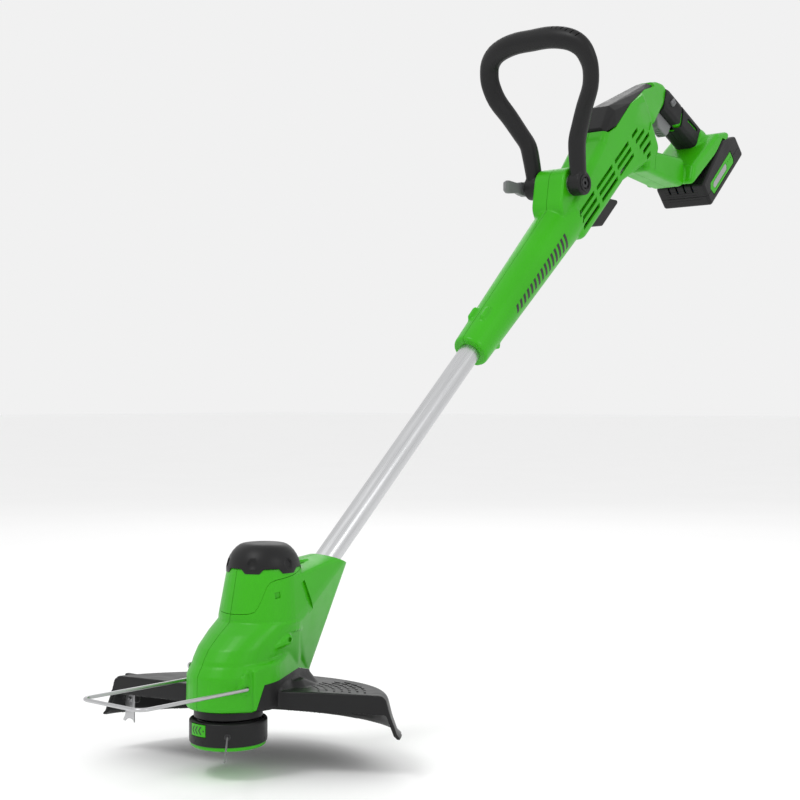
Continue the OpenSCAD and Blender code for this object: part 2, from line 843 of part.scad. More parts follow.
module lock_spring() {
    color(steel) on_handle() translate([lock_at[0], 7.6, lock_at[1]]) rotate([-90, 0, 0])
        coil_spring(3, 0.6, 5.1, 4);
}

module microswitch() {
    color(black) on_handle() {
        translate([886, -6, -64]) cube([9, 12, 20]);
        translate([884.6, -2, -52]) cube([1.5, 4, 4]);
    }
}

module control_board() {
    color("darkgreen") on_handle() {
        translate([716, -18, -10]) cube([62, 1.6, 34]);
        translate([722, -16.5, -4]) cube([16, 12, 12]);
        translate([746, -16.5, 4]) cube([24, 9, 16]);
    }
}

module terminal_block() {
    color(black) on_handle() {
        translate([852, -26, -129]) cube([44, 52, 7]);
        for (y = blade_rows) translate([856, y - 0.6, -144]) cube([26, 1.2, 15.2]);
    }
}

// ---------- battery ----------

module pack_outline_block() {
    rounded_block([[pack_front + 5, pack_floor + 4], [pack_front + 5, pack_seam - 6],
        [926, -131], [pack_back - 5, -147], [pack_back - 4, pack_floor + 4]], 4, pack_w / 2, 3);
}

pack_split = -160;

module pack_half(upper) {
    difference() {
        pack_outline_block();
        side_plate([[pack_front + 3.5, pack_floor + 2.5], [pack_front + 3.5, pack_seam - 5],
            [926, -130], [pack_back - 4, -146], [pack_back - 2.5, pack_floor + 2.5]],
            pack_w / 2 - wall);
        if (upper) translate([800, -60, -260]) cube([200, 120, 260 + pack_split]);
        else translate([800, -60, pack_split]) cube([200, 120, 100]);
        // window for the latch button
        translate([936, -11.4, -150]) cube([14.8, 22.8, 30]);
        // label recess on the left flank
        side_plate_left([[853, -168], [931, -168], [931, -151], [853, -151]]);
        // contact slots
        for (y = blade_rows) translate([830, y - 1.4, -152]) cube([60, 2.8, 32]);
    }
}

// A shallow recess cut into the left flank of the pack
module side_plate_left(points) {
    translate([0, -pack_w / 2, 0]) rotate([90, 0, 0])
        linear_extrude(2.4, center = true) polygon(points);
}

module battery_tray() color(black) on_handle() pack_half(false);
module battery_lid() color(black) on_handle() pack_half(true);

module battery_cells() {
    color("steelblue") on_handle() for (i = [0:4])
        across([852 + 19 * i, pack_floor + 13], 9.2, -32.5, 32.5);
}

module battery_contacts() {
    color("gold") on_handle() for (y = blade_rows)
        for (side = [-1, 1]) translate([855, y + side * 1.9 - 0.4, -150]) cube([28, 0.8, 8]);
}

module battery_label() {
    color(green) on_handle() translate([853.2, -pack_w / 2 - 0.2, -167.8]) difference() {
        cube([77.6, 1.3, 16.6]);
        translate([8, -tiny, 4]) cube([52, 0.6, 8.6]);
    }
}

module battery_latch() {
    color(grey) on_handle() difference() {
        translate([936.4, -11, -147]) cube([14, 22, 18]);
        side_plate([[930, -126], [934, -131.5], [952, -139.5], [960, -139], [960, -120]], 20);
    }
}

module latch_spring() {
    color(steel) on_handle() translate([943.4, 0, -153.4]) coil_spring(3, 0.7, 6.2, 4);
}

// ---------- every node ----------

head_shell_left();
head_shell_right();
motor_cap();
head_screws();
gearbox_plate();
motor_can();
motor_magnets();
motor_rotor();
motor_pinion();
motor_fan();
drive_gear();
output_spindle();
bearing_lower();
bearing_upper();
neck_ring();
spool_housing();
line_spool();
wound_line();
cutting_line();
line_eyelet();
spool_cover();
spool_spring();
latch_tab_front();
latch_tab_rear();
tab_springs();
guard();
cutter_blade();
cutter_screws();
wire_guard();
shaft_tube();
power_lead();
housing_left();
housing_right();
top_cover();
belly_cover();
housing_screws();
pivot_bolt();
pivot_washers();
pivot_bush();
aux_handle();
cam_lever();
cam_pin();
grip_pad_left();
grip_pad_right();
trigger();
trigger_pin();
trigger_spring();
lock_button();
lock_spring();
microswitch();
control_board();
terminal_block();
battery_tray();
battery_lid();
battery_cells();
battery_contacts();
battery_label();
battery_latch();
latch_spring();
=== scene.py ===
"""Battery string trimmer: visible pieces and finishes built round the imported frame."""

import json
import math

import bmesh
import bpy
from bpy.props import FloatProperty, FloatVectorProperty, IntProperty, PointerProperty
from mathutils import Matrix, Vector


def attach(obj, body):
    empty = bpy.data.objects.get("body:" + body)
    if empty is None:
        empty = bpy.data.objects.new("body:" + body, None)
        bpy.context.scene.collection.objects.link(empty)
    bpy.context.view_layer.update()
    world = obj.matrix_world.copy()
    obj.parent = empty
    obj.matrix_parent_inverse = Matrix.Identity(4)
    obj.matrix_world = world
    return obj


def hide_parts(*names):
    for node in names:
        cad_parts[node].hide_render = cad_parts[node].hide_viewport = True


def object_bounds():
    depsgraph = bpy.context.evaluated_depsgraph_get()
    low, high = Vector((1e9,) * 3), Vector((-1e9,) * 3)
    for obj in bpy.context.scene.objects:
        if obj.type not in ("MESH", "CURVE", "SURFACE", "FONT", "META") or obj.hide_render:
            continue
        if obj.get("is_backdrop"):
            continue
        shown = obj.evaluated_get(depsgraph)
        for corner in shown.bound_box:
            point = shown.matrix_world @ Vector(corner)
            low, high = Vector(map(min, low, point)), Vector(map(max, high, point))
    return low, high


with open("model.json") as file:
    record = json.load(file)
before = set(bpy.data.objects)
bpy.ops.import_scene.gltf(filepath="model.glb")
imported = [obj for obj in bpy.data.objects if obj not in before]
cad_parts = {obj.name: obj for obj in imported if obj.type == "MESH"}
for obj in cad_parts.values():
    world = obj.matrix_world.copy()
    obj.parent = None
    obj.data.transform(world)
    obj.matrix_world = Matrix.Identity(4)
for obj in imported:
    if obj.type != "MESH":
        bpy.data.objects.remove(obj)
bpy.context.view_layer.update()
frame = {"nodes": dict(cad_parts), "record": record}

bl_info = {
    "name": "String trimmer",
    "version": (1, 0, 0),
    "blender": (4, 5, 0),
    "location": "3D View > Sidebar > Trimmer",
    "description": "Builds the visible pieces of a battery string trimmer round its frame",
    "category": "Add Mesh",
}

MM = 0.001
SHAFT_ANGLE = 42.3
SOCKET = (142, 0, 172)
TOWER_X = 47.5
TUBE_BORE = 12.7
PIVOT = (598, 38)
LINE_ANGLE = -134.4
TAB_ANGLE = 176.6
SADDLE = [(-6, 20), (-6, 35.6), (5.7, 61.8), (72.9, 67.6), (112, 58), (112, 20)]

UPRIGHT = Matrix()
ALONG_Y = Matrix.Rotation(math.radians(90), 4, "X")
ALONG_X = Matrix.Rotation(math.radians(90), 4, "Y")
SHAFT = Matrix.Translation(SOCKET) @ Matrix.Rotation(math.radians(-SHAFT_ANGLE), 4, "Y")
PIVOT_FRAME = Matrix.Translation(SHAFT @ Vector((PIVOT[0], 0, PIVOT[1])))


# ---------- sizes and colours ----------

class TrimmerSizes(bpy.types.PropertyGroup):
    case_grain: FloatProperty(
        name="Case mesh", description="Mesh size of the moulded casings",
        default=1.15 * MM, min=0.8 * MM, max=3 * MM, precision=5, subtype="DISTANCE")
    body_grain: FloatProperty(
        name="Handle mesh", description="Mesh size of the handle housing",
        default=1.4 * MM, min=1 * MM, max=3 * MM, precision=5, subtype="DISTANCE")
    seam: FloatProperty(
        name="Seam", description="Gap between two casing halves",
        default=0.5 * MM, min=0.2 * MM, max=1 * MM, precision=5, subtype="DISTANCE")
    wall: FloatProperty(
        name="Wall", description="Wall of the casings",
        default=2.5 * MM, min=1.5 * MM, max=4 * MM, precision=5, subtype="DISTANCE")
    steps: IntProperty(
        name="Round steps", description="Steps in a full turn of a round piece",
        default=96, min=24, max=160, subtype="UNSIGNED")


class TrimmerColours(bpy.types.PropertyGroup):
    green: FloatVectorProperty(
        name="Green", description="Moulded green of the casings", subtype="COLOR",
        default=(0.034, 0.375, 0.0015), min=0, max=1)
    black: FloatVectorProperty(
        name="Black", description="Moulded black of guard, cap and loop", subtype="COLOR",
        default=(0.011, 0.011, 0.0115), min=0, max=1)
    grey: FloatVectorProperty(
        name="Grey", description="Grey of trigger, lever and buttons", subtype="COLOR",
        default=(0.17, 0.172, 0.178), min=0, max=1)
    metal: FloatVectorProperty(
        name="Metal", description="Bare metal of tube and wire", subtype="COLOR",
        default=(0.62, 0.625, 0.635), min=0, max=1)


def size(name):
    """One of the sizes, in millimetres."""
    return round(getattr(bpy.context.scene.trimmer_sizes, name) / MM, 4)


# ---------- materials ----------

def shader(name, colour, rough, metallic=0.0):
    mat = bpy.data.materials.new(name)
    mat.use_nodes = True
    bsdf = mat.node_tree.nodes["Principled BSDF"]
    bsdf.inputs["Base Color"].default_value = (*colour, 1)
    bsdf.inputs["Roughness"].default_value = rough
    bsdf.inputs["Metallic"].default_value = metallic
    return mat, bsdf


def object_noise(tree, scale, detail=3.0, stretch=(1, 1, 1), turn=(0, 0, 0)):
    """Noise on Object coordinates, drawn out by the stretch along turned axes."""
    place = tree.nodes.new("ShaderNodeTexCoord")
    mapping = tree.nodes.new("ShaderNodeMapping")
    mapping.vector_type = "TEXTURE"
    mapping.inputs["Rotation"].default_value = turn
    mapping.inputs["Scale"].default_value = stretch
    noise = tree.nodes.new("ShaderNodeTexNoise")
    noise.inputs["Scale"].default_value = scale
    noise.inputs["Detail"].default_value = detail
    tree.links.new(place.outputs["Object"], mapping.inputs["Vector"])
    tree.links.new(mapping.outputs["Vector"], noise.inputs["Vector"])
    return noise.outputs["Fac"]


def spread(tree, factor, low, high):
    """Maps a 0..1 factor to the range low..high."""
    node = tree.nodes.new("ShaderNodeMapRange")
    node.inputs["From Min"].default_value = 0.3
    node.inputs["From Max"].default_value = 0.7
    node.inputs["To Min"].default_value = low
    node.inputs["To Max"].default_value = high
    tree.links.new(factor, node.inputs["Value"])
    return node.outputs["Result"]


def tint(tree, factor, dark, light):
    ramp = tree.nodes.new("ShaderNodeValToRGB")
    ramp.color_ramp.elements[0].position = 0.3
    ramp.color_ramp.elements[1].position = 0.7
    ramp.color_ramp.elements[0].color = (*dark, 1)
    ramp.color_ramp.elements[1].color = (*light, 1)
    tree.links.new(factor, ramp.inputs["Fac"])
    return ramp.outputs["Color"]


def relief(tree, bsdf, factor, strength, depth):
    bump = tree.nodes.new("ShaderNodeBump")
    bump.inputs["Strength"].default_value = strength
    bump.inputs["Distance"].default_value = depth
    tree.links.new(factor, bump.inputs["Height"])
    tree.links.new(bump.outputs["Normal"], bsdf.inputs["Normal"])


def moulded(name, colour, rough, grain=900, strength=0.25, vary=0.08, sheen=0.0, gleam=0.5):
    """Injection-moulded plastic: fine grain, faint colour drift, uneven gloss."""
    mat, bsdf = shader(name, colour, rough)
    bsdf.inputs["Specular IOR Level"].default_value = gleam
    tree = mat.node_tree
    drift = object_noise(tree, 14)
    dark = [c * (1 - vary) for c in colour]
    light = [min(1, c * (1 + vary)) for c in colour]
    tree.links.new(tint(tree, drift, dark, light), bsdf.inputs["Base Color"])
    gloss = object_noise(tree, 60, 4)
    tree.links.new(spread(tree, gloss, rough - 0.05, rough + 0.06), bsdf.inputs["Roughness"])
    relief(tree, bsdf, object_noise(tree, grain, 2), strength, 0.00012)
    bsdf.inputs["Sheen Weight"].default_value = sheen
    return mat


def brushed(name, colour, rough, stretch, turn=(0, 0, 0)):
    """Drawn or brushed metal: fine lines along one direction."""
    mat, bsdf = shader(name, colour, rough, 1.0)
    tree = mat.node_tree
    lines = object_noise(tree, 1300, 4, stretch, turn)
    tree.links.new(spread(tree, lines, rough - 0.05, rough + 0.08), bsdf.inputs["Roughness"])
    dark = [c * 0.9 for c in colour]
    tree.links.new(tint(tree, lines, dark, colour), bsdf.inputs["Base Color"])
    relief(tree, bsdf, lines, 0.12, 0.00005)
    return mat


FINISH = {}


def make_finishes():
    """One finish for each of the record's material slots, and a few for details."""
    c = bpy.context.scene.trimmer_colours
    green, black, grey, metal = c.green[:], c.black[:], c.grey[:], c.metal[:]
    FINISH.update({
        "green_plastic": moulded("green_plastic", green, 0.34, 1100, 0.14, 0.05, 0.0, 0.3),
        "black_plastic": moulded("black_plastic", black, 0.4, 800, 0.2, 0.1, 0.0, 0.22),
        "soft_black": moulded("soft_black", (0.016, 0.016, 0.017), 0.58, 1500, 0.4, 0.12, 0.0, 0.2),
        "grey_plastic": moulded("grey_plastic", grey, 0.42, 900, 0.25, 0.06),
        "white_plastic": moulded("white_plastic", (0.7, 0.68, 0.6), 0.45),
        "aluminium_tube": brushed("aluminium_tube", metal, 0.3, (60, 1, 1),
                                  (0, math.radians(-SHAFT_ANGLE), 0)),
        "steel": brushed("steel", (0.52, 0.52, 0.53), 0.32, (12, 1, 1)),
        "spring_steel": brushed("spring_steel", (0.42, 0.42, 0.44), 0.3, (1, 1, 5)),
        "magnet": moulded("magnet", (0.05, 0.05, 0.055), 0.5),
        "copper_core": brushed("copper_core", (0.62, 0.3, 0.16), 0.35, (1, 1, 8)),
        "brass": brushed("brass", (0.7, 0.52, 0.2), 0.3, (1, 1, 8)),
        "nylon_line": moulded("nylon_line", (0.2, 0.2, 0.205), 0.3, 1500, 0.2),
        "circuit_board": moulded("circuit_board", (0.01, 0.09, 0.03), 0.35),
        "cell_wrap": moulded("cell_wrap", (0.05, 0.14, 0.32), 0.35),
        "cable_sheath": moulded("cable_sheath", (0.02, 0.02, 0.02), 0.5),
        "dark_steel": brushed("dark_steel", (0.06, 0.06, 0.062), 0.4, (1, 12, 1)),
        # Dark print on the barrel hatch, and also painted shade in the grooves of the tab chevrons
        "dark_print_and_painted_shade": moulded("dark_print_and_painted_shade", (0.012, 0.012, 0.012), 0.4, 1500, 0.1),
        "grey_print": moulded("grey_print", (0.3, 0.305, 0.31), 0.4, 1500, 0.1),
    })


# ---------- mesh helpers, all in millimetres until the piece is finished ----------

def circle(bm, centre, radius, turn=UPRIGHT, flat=1.0, segments=40):
    matrix = Matrix.Translation(Vector(centre)) @ turn @ Matrix.Diagonal((1, flat, 1, 1))
    made = bmesh.ops.create_circle(bm, cap_ends=False, segments=segments, radius=radius,
                                   matrix=matrix)
    return made["verts"]


def wrap(bm, verts):
    """Closes the convex hull round some vertices and drops those inside it."""
    made = bmesh.ops.convex_hull(bm, input=verts, use_existing_faces=False)
    inner = {v for key in ("geom_interior", "geom_unused") for v in made[key]
             if isinstance(v, bmesh.types.BMVert)}
    bmesh.ops.delete(bm, geom=list(inner), context="VERTS")


def hull(bm, rings, place=UPRIGHT):
    """Convex hull of rings, each (centre, radius) or (centre, radius, turn)."""
    verts = []
    for ring in rings:
        verts += circle(bm, ring[0], max(ring[1], 0.05), *ring[2:])
    bmesh.ops.transform(bm, matrix=place, verts=verts)
    wrap(bm, verts)


def block(bm, points, r, half, ease, place=UPRIGHT):
    """Rounded block round [x, z] points, its long edges eased in three steps."""
    rings = []
    for x, z in points:
        for share, inset in ((0, 1), (0.3, 0.35), (1, 0)):
            for side in (-1, 1):
                rings.append(((x, side * (half - share * ease), z), r - inset * ease, ALONG_Y))
    hull(bm, rings, place)


def corner_block(bm, points, place=UPRIGHT):
    """Convex hull of plain corner points."""
    verts = [bm.verts.new(p) for p in points]
    bmesh.ops.transform(bm, matrix=place, verts=verts)
    wrap(bm, verts)


def mirrored_block(bm, points, inner, outer, place=UPRIGHT):
    """A block with the given side outline on each flank."""
    for side in (-1, 1):
        corner_block(bm, [(x, side * y, z) for y in (inner, outer) for x, z in points], place)


def prism(bm, corners, step, place=UPRIGHT):
    """A flat outline drawn out along a step."""
    verts = [bm.verts.new(corner) for corner in corners]
    made = bmesh.ops.extrude_face_region(bm, geom=[bm.faces.new(verts)])
    top = [g for g in made["geom"] if isinstance(g, bmesh.types.BMVert)]
    bmesh.ops.translate(bm, verts=top, vec=step)
    verts += top
    bmesh.ops.recalc_face_normals(bm, faces=list({f for v in verts for f in v.link_faces}))
    bmesh.ops.transform(bm, matrix=place, verts=verts)


def plate(bm, points, y0, y1, place=UPRIGHT):
    """A plate with the given side outline, from y0 to y1."""
    prism(bm, [(x, y0, z) for x, z in points], (0, y1 - y0, 0), place)


def mirrored_plate(bm, points, inner, outer, place=UPRIGHT):
    for side in (-1, 1):
        plate(bm, points, *sorted((side * inner, side * outer)), place)


def rod(bm, centre, r, length, turn=UPRIGHT, place=UPRIGHT, r_end=None, segments=48):
    """A cylinder or cone centred on a point, its axis turned from +Z."""
    matrix = place @ Matrix.Translation(Vector(centre)) @ turn
    bmesh.ops.create_cone(bm, cap_ends=True, cap_tris=False, segments=segments, radius1=r,
                          radius2=r if r_end is None else r_end, depth=length, matrix=matrix)


def bar(bm, centre, size, turn=UPRIGHT, place=UPRIGHT, soften=0.0):
    """A box, with its edges bevelled when soften is over 0."""
    matrix = place @ Matrix.Translation(Vector(centre)) @ turn @ Matrix.Diagonal((*size, 1))
    made = bmesh.ops.create_cube(bm, size=1, matrix=matrix)
    if soften:
        edges = {e for v in made["verts"] for e in v.link_edges}
        bmesh.ops.bevel(bm, geom=list(edges), offset=soften, offset_type="OFFSET", segments=2,
                        profile=0.5, affect="EDGES", material=-1)


def lathe(bm, profile, steps, angle=360.0, start=0.0):
    """Turns an open [r, z] profile about Z."""
    verts = [bm.verts.new((r, 0, z)) for r, z in profile]
    edges = [bm.edges.new(pair) for pair in zip(verts, verts[1:])]
    bmesh.ops.rotate(bm, verts=verts, cent=(0, 0, 0),
                     matrix=Matrix.Rotation(math.radians(start), 3, "Z"))
    full = angle >= 360
    bmesh.ops.spin(bm, geom=verts + edges, cent=(0, 0, 0), axis=(0, 0, 1),
                   angle=math.radians(angle), steps=steps, use_merge=full,
                   use_normal_flip=False, use_duplicate=False)
    if full:
        bmesh.ops.remove_doubles(bm, verts=bm.verts, dist=0.001)
        bmesh.ops.recalc_face_normals(bm, faces=bm.faces)


def arc(cx, cz, r, first, last, count):
    """Points along an arc in the plane of an outline, in degrees."""
    turns = [math.radians(first + (last - first) * i / count) for i in range(count + 1)]
    return [(cx + r * math.cos(a), cz + r * math.sin(a)) for a in turns]


def add_object(name, data):
    obj = bpy.data.objects.new(name, data)
    bpy.context.scene.collection.objects.link(obj)
    return obj


def to_object(bm, name):
    bmesh.ops.scale(bm, vec=(MM, MM, MM), verts=bm.verts)
    mesh = bpy.data.meshes.new(name)
    bm.to_mesh(mesh)
    bm.free()
    return add_object(name, mesh)


def bake(obj):
    """Applies every modifier of an object to its mesh."""
    graph = bpy.context.evaluated_depsgraph_get()
    mesh = bpy.data.meshes.new_from_object(obj.evaluated_get(graph))
    old = obj.data
    obj.modifiers.clear()
    obj.data = mesh
    bpy.data.meshes.remove(old)
    return obj


def fuse(draw, name, grain, passes):
    """Melts the overlapping forms of a draw function into one skin with softened edges."""
    bm = bmesh.new()
    draw(bm)
    obj = to_object(bm, name)
    melt = obj.modifiers.new("melt", "REMESH")
    melt.mode = "VOXEL"
    melt.voxel_size = grain * MM
    ease = obj.modifiers.new("ease", "SMOOTH")
    ease.factor = 0.5
    ease.iterations = passes
    return bake(obj)


def drop(obj):
    mesh = obj.data
    bpy.data.objects.remove(obj)
    bpy.data.meshes.remove(mesh)


def carve(obj, cutter, operation="DIFFERENCE"):
    """Cuts one solid with another, or keeps what they share."""
    boolean = obj.modifiers.new("cut", "BOOLEAN")
    boolean.operation = operation
    boolean.solver = "EXACT"
    boolean.object = cutter
    bake(obj)
    drop(cutter)
    return obj


def carve_shapes(obj, *draws, operation="DIFFERENCE"):
    """Cuts with shapes that functions draw into a fresh bmesh each."""
    for draw in draws:
        bm = bmesh.new()
        draw(bm)
        carve(obj, to_object(bm, "cutter"), operation)
    return obj


def cut(obj, shape, *values, **options):
    """Cuts with one shape of the helpers above."""
    return carve_shapes(obj, lambda bm: shape(bm, *values, **options))


def hollow(obj, inner):
    """Puts a nested inner skin into a solid, facing inwards."""
    bm = bmesh.new()
    bm.from_mesh(inner.data)
    bmesh.ops.reverse_faces(bm, faces=bm.faces)
    bm.from_mesh(obj.data)
    bm.to_mesh(obj.data)
    bm.free()
    drop(inner)
    return obj


def kept_part(obj, name, centre, box, place=UPRIGHT):
    """A copy of the part of an object inside a box."""
    copy = add_object(name, obj.data.copy())
    return carve_shapes(copy, lambda bm: bar(bm, centre, box, UPRIGHT, place),
                        operation="INTERSECT")


def finish_halves(obj, piece_name, finish, node_name):
    """Splits a casing along its seam into a left and a right piece."""
    reach = 700
    for side, word in ((-1, "left"), (1, "right")):
        middle = side * (size("seam") / 2 + reach / 2)
        shell = kept_part(obj, f"half_{word}", (400, middle, 400), (2400, reach, 2400))
        finish_piece(shell, f"{piece_name}_{word}", finish, "frame", [f"{node_name}_{word}"], 38)
    drop(obj)


def finish_piece(obj, name, finish, body, nodes=(), sharp=32.0):
    """Names, shades and colours a piece, and ties it to its body and nodes."""
    obj.name = name
    obj.data.name = name
    mesh = obj.data
    mesh.materials.clear()
    mesh.materials.append(FINISH[finish])
    mesh.shade_smooth()
    mesh.set_sharp_from_angle(angle=math.radians(sharp))
    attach(obj, body)
    if nodes:
        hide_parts(*nodes)
    return obj


def piece(draw, name, finish, body, nodes=(), sharp=32.0):
    """A piece drawn straight into one bmesh."""
    bm = bmesh.new()
    draw(bm)
    return finish_piece(to_object(bm, name), name, finish, body, nodes, sharp)


# ---------- cutting head ----------

def draw_case(bm, t=0.0):
    """Gear case, shoulder, motor tower and shaft web; t moves the walls inwards."""
    floor = 36 + t
    hull(bm, [((0, 0, floor + 1.5), 39.4 - t), ((0, 0, floor + 4), 41 - t), ((0, 0, 70 - t), 40.4 - t),
              ((4, 0, 79 - t), 39.2 - t), ((80, 0, floor), 20 - t), ((84, 0, 79 - t), 17 - t)])
    hull(bm, [((2, 0, 72), 38.6 - t), ((6, 0, 84 - t), 38.8 - t), ((13.5, 0, 95 - t), 39.4 - t),
              ((29.5, 0, 108 - t), 41.4 - t), ((44, 0, 117.5 - t), 43.3 - t), ((62, 0, 72), 27 - t),
              ((84, 0, 100), 17 - t)])
    hull(bm, [((44, 0, 108), 42.4 - t), ((44, 0, 122), 42.2 - t),
              ((47.8, 0, 170 - t), 36.1 - t)])
    disc = Matrix.Rotation(math.radians(-SHAFT_ANGLE - 29 + 90), 4, "Y")
    end = SHAFT @ Vector((-2 - t, 0, -1.5))
    web_top = 138 if t else 160
    hull(bm, [((90, 0, 62 + t), 16.4 - t), ((90, 0, 90), 16.4 - t), ((44, 0, 114), 42.3 - t),
              ((44, 0, 122), 42.2 - t), ((47, 0, web_top), 37.4 - t), (end, 19.6 - t, disc)])


def draw_case_inside(bm):
    draw_case(bm, size("wall") + 0.6)


def draw_skirt(bm):
    """Wider lower skirt: an upright edge in front, and a ledge that climbs to the back."""
    top_front, top_back = 79, 102
    rings = [((14, 0, 36.4), 43.6), ((14, 0, 38.5), 45), ((14, 0, top_front), 45),
             ((14, 0, top_front + 1.5), 43.6), ((90, 0, 36.4), 15), ((90, 0, 39), 16.2),
             ((90, 0, top_back), 16.2), ((90, 0, top_back + 1.5), 15)]
    hull(bm, rings)
    for side in (-1, 1):
        corner_block(bm, [(x, side * y, z) for x, y, z in (
            (-7, 30, 36.6), (-7, 43.6, 38.4), (-7, 43.6, 76.6), (-7, 30, 77.6), (16, 30, 36.6),
            (16, 44.9, 38.4), (16, 44.9, 79.4), (16, 30, 81))])


def draw_case_details(bm):
    for side in (-1, 1):
        # swelling round each end of the edge guard
        hull(bm, [((-13, side * 37, 60), 7.5, ALONG_Y), ((-13, side * 40.2, 60), 5.6, ALONG_Y),
                  ((-13, side * 38.5, 72), 4, ALONG_Y)])
        # screw boss with its drawn-out tail
        hull(bm, [((39, side * 40, 101.5), 6, ALONG_Y), ((39, side * 45.4, 101.5), 4.6, ALONG_Y),
                  ((24, side * 41.5, 95), 1.4, ALONG_Y)])
    for y in (-9, 9):
        # lug on top of the web
        hull(bm, [((88, y, 166), 3.4), ((100, y, 167), 3.4), ((90, y, 173), 2.4),
                  ((98, y, 173.6), 2.4)])


def cap_turns(shift=0.0):
    """Turns to the six lobes of the motor cap, or between them with a shift of a half."""
    return [Matrix.Rotation(math.radians(-152 + (i + shift) * 60), 4, "Z") for i in range(6)]


def cut_side_pockets(bm):
    """Shallow pockets pressed into the flanks of the head."""
    for side in (-1, 1):
        for floor in (((62, 34.8, 152), (71, 32, 156), (86, 32.7, 122), (78, 35, 118)),
                      ((28.5, 33.4, 141), (28.5, 33.4, 147), (34, 36, 148), (34, 36, 142))):
            corner_block(bm, [(x, side * y, z) for x, inner, z in floor for y in (inner, 60)])
        rod(bm, (39, side * 47.5, 101.5), 2.4, 9, ALONG_Y)


def draw_panel_line(bm):
    """Thin groove where the tower cover meets the case."""
    width = 0.55
    path = [(-12, 125), (1.7, 126.2), (8, 127.4), (11.5, 129.4), (14.6, 134.5), (22.8, 153),
            (26, 157), (30.8, 159.2), (49.7, 162.4), (63.8, 165.6), (92, 171)]
    outline = path + [(x, z - width) for x, z in reversed(path)]
    plate(bm, outline, -60, 60)


class TRIMMER_OT_head_case(bpy.types.Operator):
    """Builds the two green shells of the cutting head"""
    bl_idname = "trimmer.head_case"
    bl_label = "Head case"

    def execute(self, context):
        def outside(bm):
            draw_case(bm)
            draw_skirt(bm)
            draw_case_details(bm)

        def openings(bm):
            plate(bm, SADDLE, -60, 60)
            rod(bm, (-26, 0, 0), TUBE_BORE, 80, ALONG_X, SHAFT)
            for side in (-1, 1):
                rod(bm, (-13, side * 42, 60), 2.3, 24, ALONG_Y, segments=24)

        case = hollow(fuse(outside, "case", size("case_grain"), 3),
                      fuse(draw_case_inside, "inside", 2.2, 3))
        carve_shapes(case, openings, draw_panel_line)
        cut(case, rod, (-9, 0, 38), 12.2, 12)
        cut(case, rod, (TOWER_X, 0, 190), 37.3, 41)
        carve_shapes(case, cut_side_pockets)
        finish_halves(case, "head_case", "green_plastic", "head_shell")
        return {"FINISHED"}


class TRIMMER_OT_motor_cap(bpy.types.Operator):
    """Builds the black vented cap on the motor tower"""
    bl_idname = "trimmer.motor_cap"
    bl_label = "Motor cap"

    def execute(self, context):
        rim = 37.1
        outer = [(rim, 165), (rim, 169), (36.4, 172.6), (35.2, 176.8), (33.2, 181), (30.4, 185.2),
                 (27, 188.8), (23.6, 191.2), (21, 192.2), (18, 192.7), (8, 193), (0.01, 193)]
        bm = bmesh.new()
        lathe(bm, outer, bpy.context.scene.trimmer_sizes.steps)
        cap = to_object(bm, "cap")
        thick = cap.modifiers.new("wall", "SOLIDIFY")
        thick.thickness = 2.2 * MM
        thick.offset = -1
        bake(cap)

        def notches(bm):
            for turn in cap_turns(0.5):
                corner_block(bm, [(x, y, z) for x in (24, 50) for y, z in (
                    (-12.2, 155), (12.2, 155), (-11.8, 165), (11.8, 165), (-7.6, 169.8),
                    (7.6, 169.8))], turn)

        def hexes(bm, radius, depth):
            """Hexagonal recesses that follow the slope of the dome."""
            slope = Matrix.Translation((35.9, 0, 174.6)) @ Matrix.Rotation(math.radians(-15), 4, "Y")
            for turn in cap_turns():
                rod(bm, (4 - depth, 0, 0), radius, 8, ALONG_X, turn @ slope, segments=6)

        carve_shapes(cap, notches)
        cut(cap, hexes, 5.6, 0.8)
        cut(cap, hexes, 4.4, 1.5)
        cap.data.transform(Matrix.Translation((TOWER_X * MM, 0, 0)))
        edge = cap.modifiers.new("edge", "BEVEL")
        edge.width = 0.45 * MM
        edge.segments = 2
        edge.limit_method = "ANGLE"
        edge.angle_limit = math.radians(40)
        bake(cap)
        finish_piece(cap, "motor_vent_cap", "black_plastic", "frame", ["motor_cap"], 35)
        return {"FINISHED"}


# ---------- spool ----------

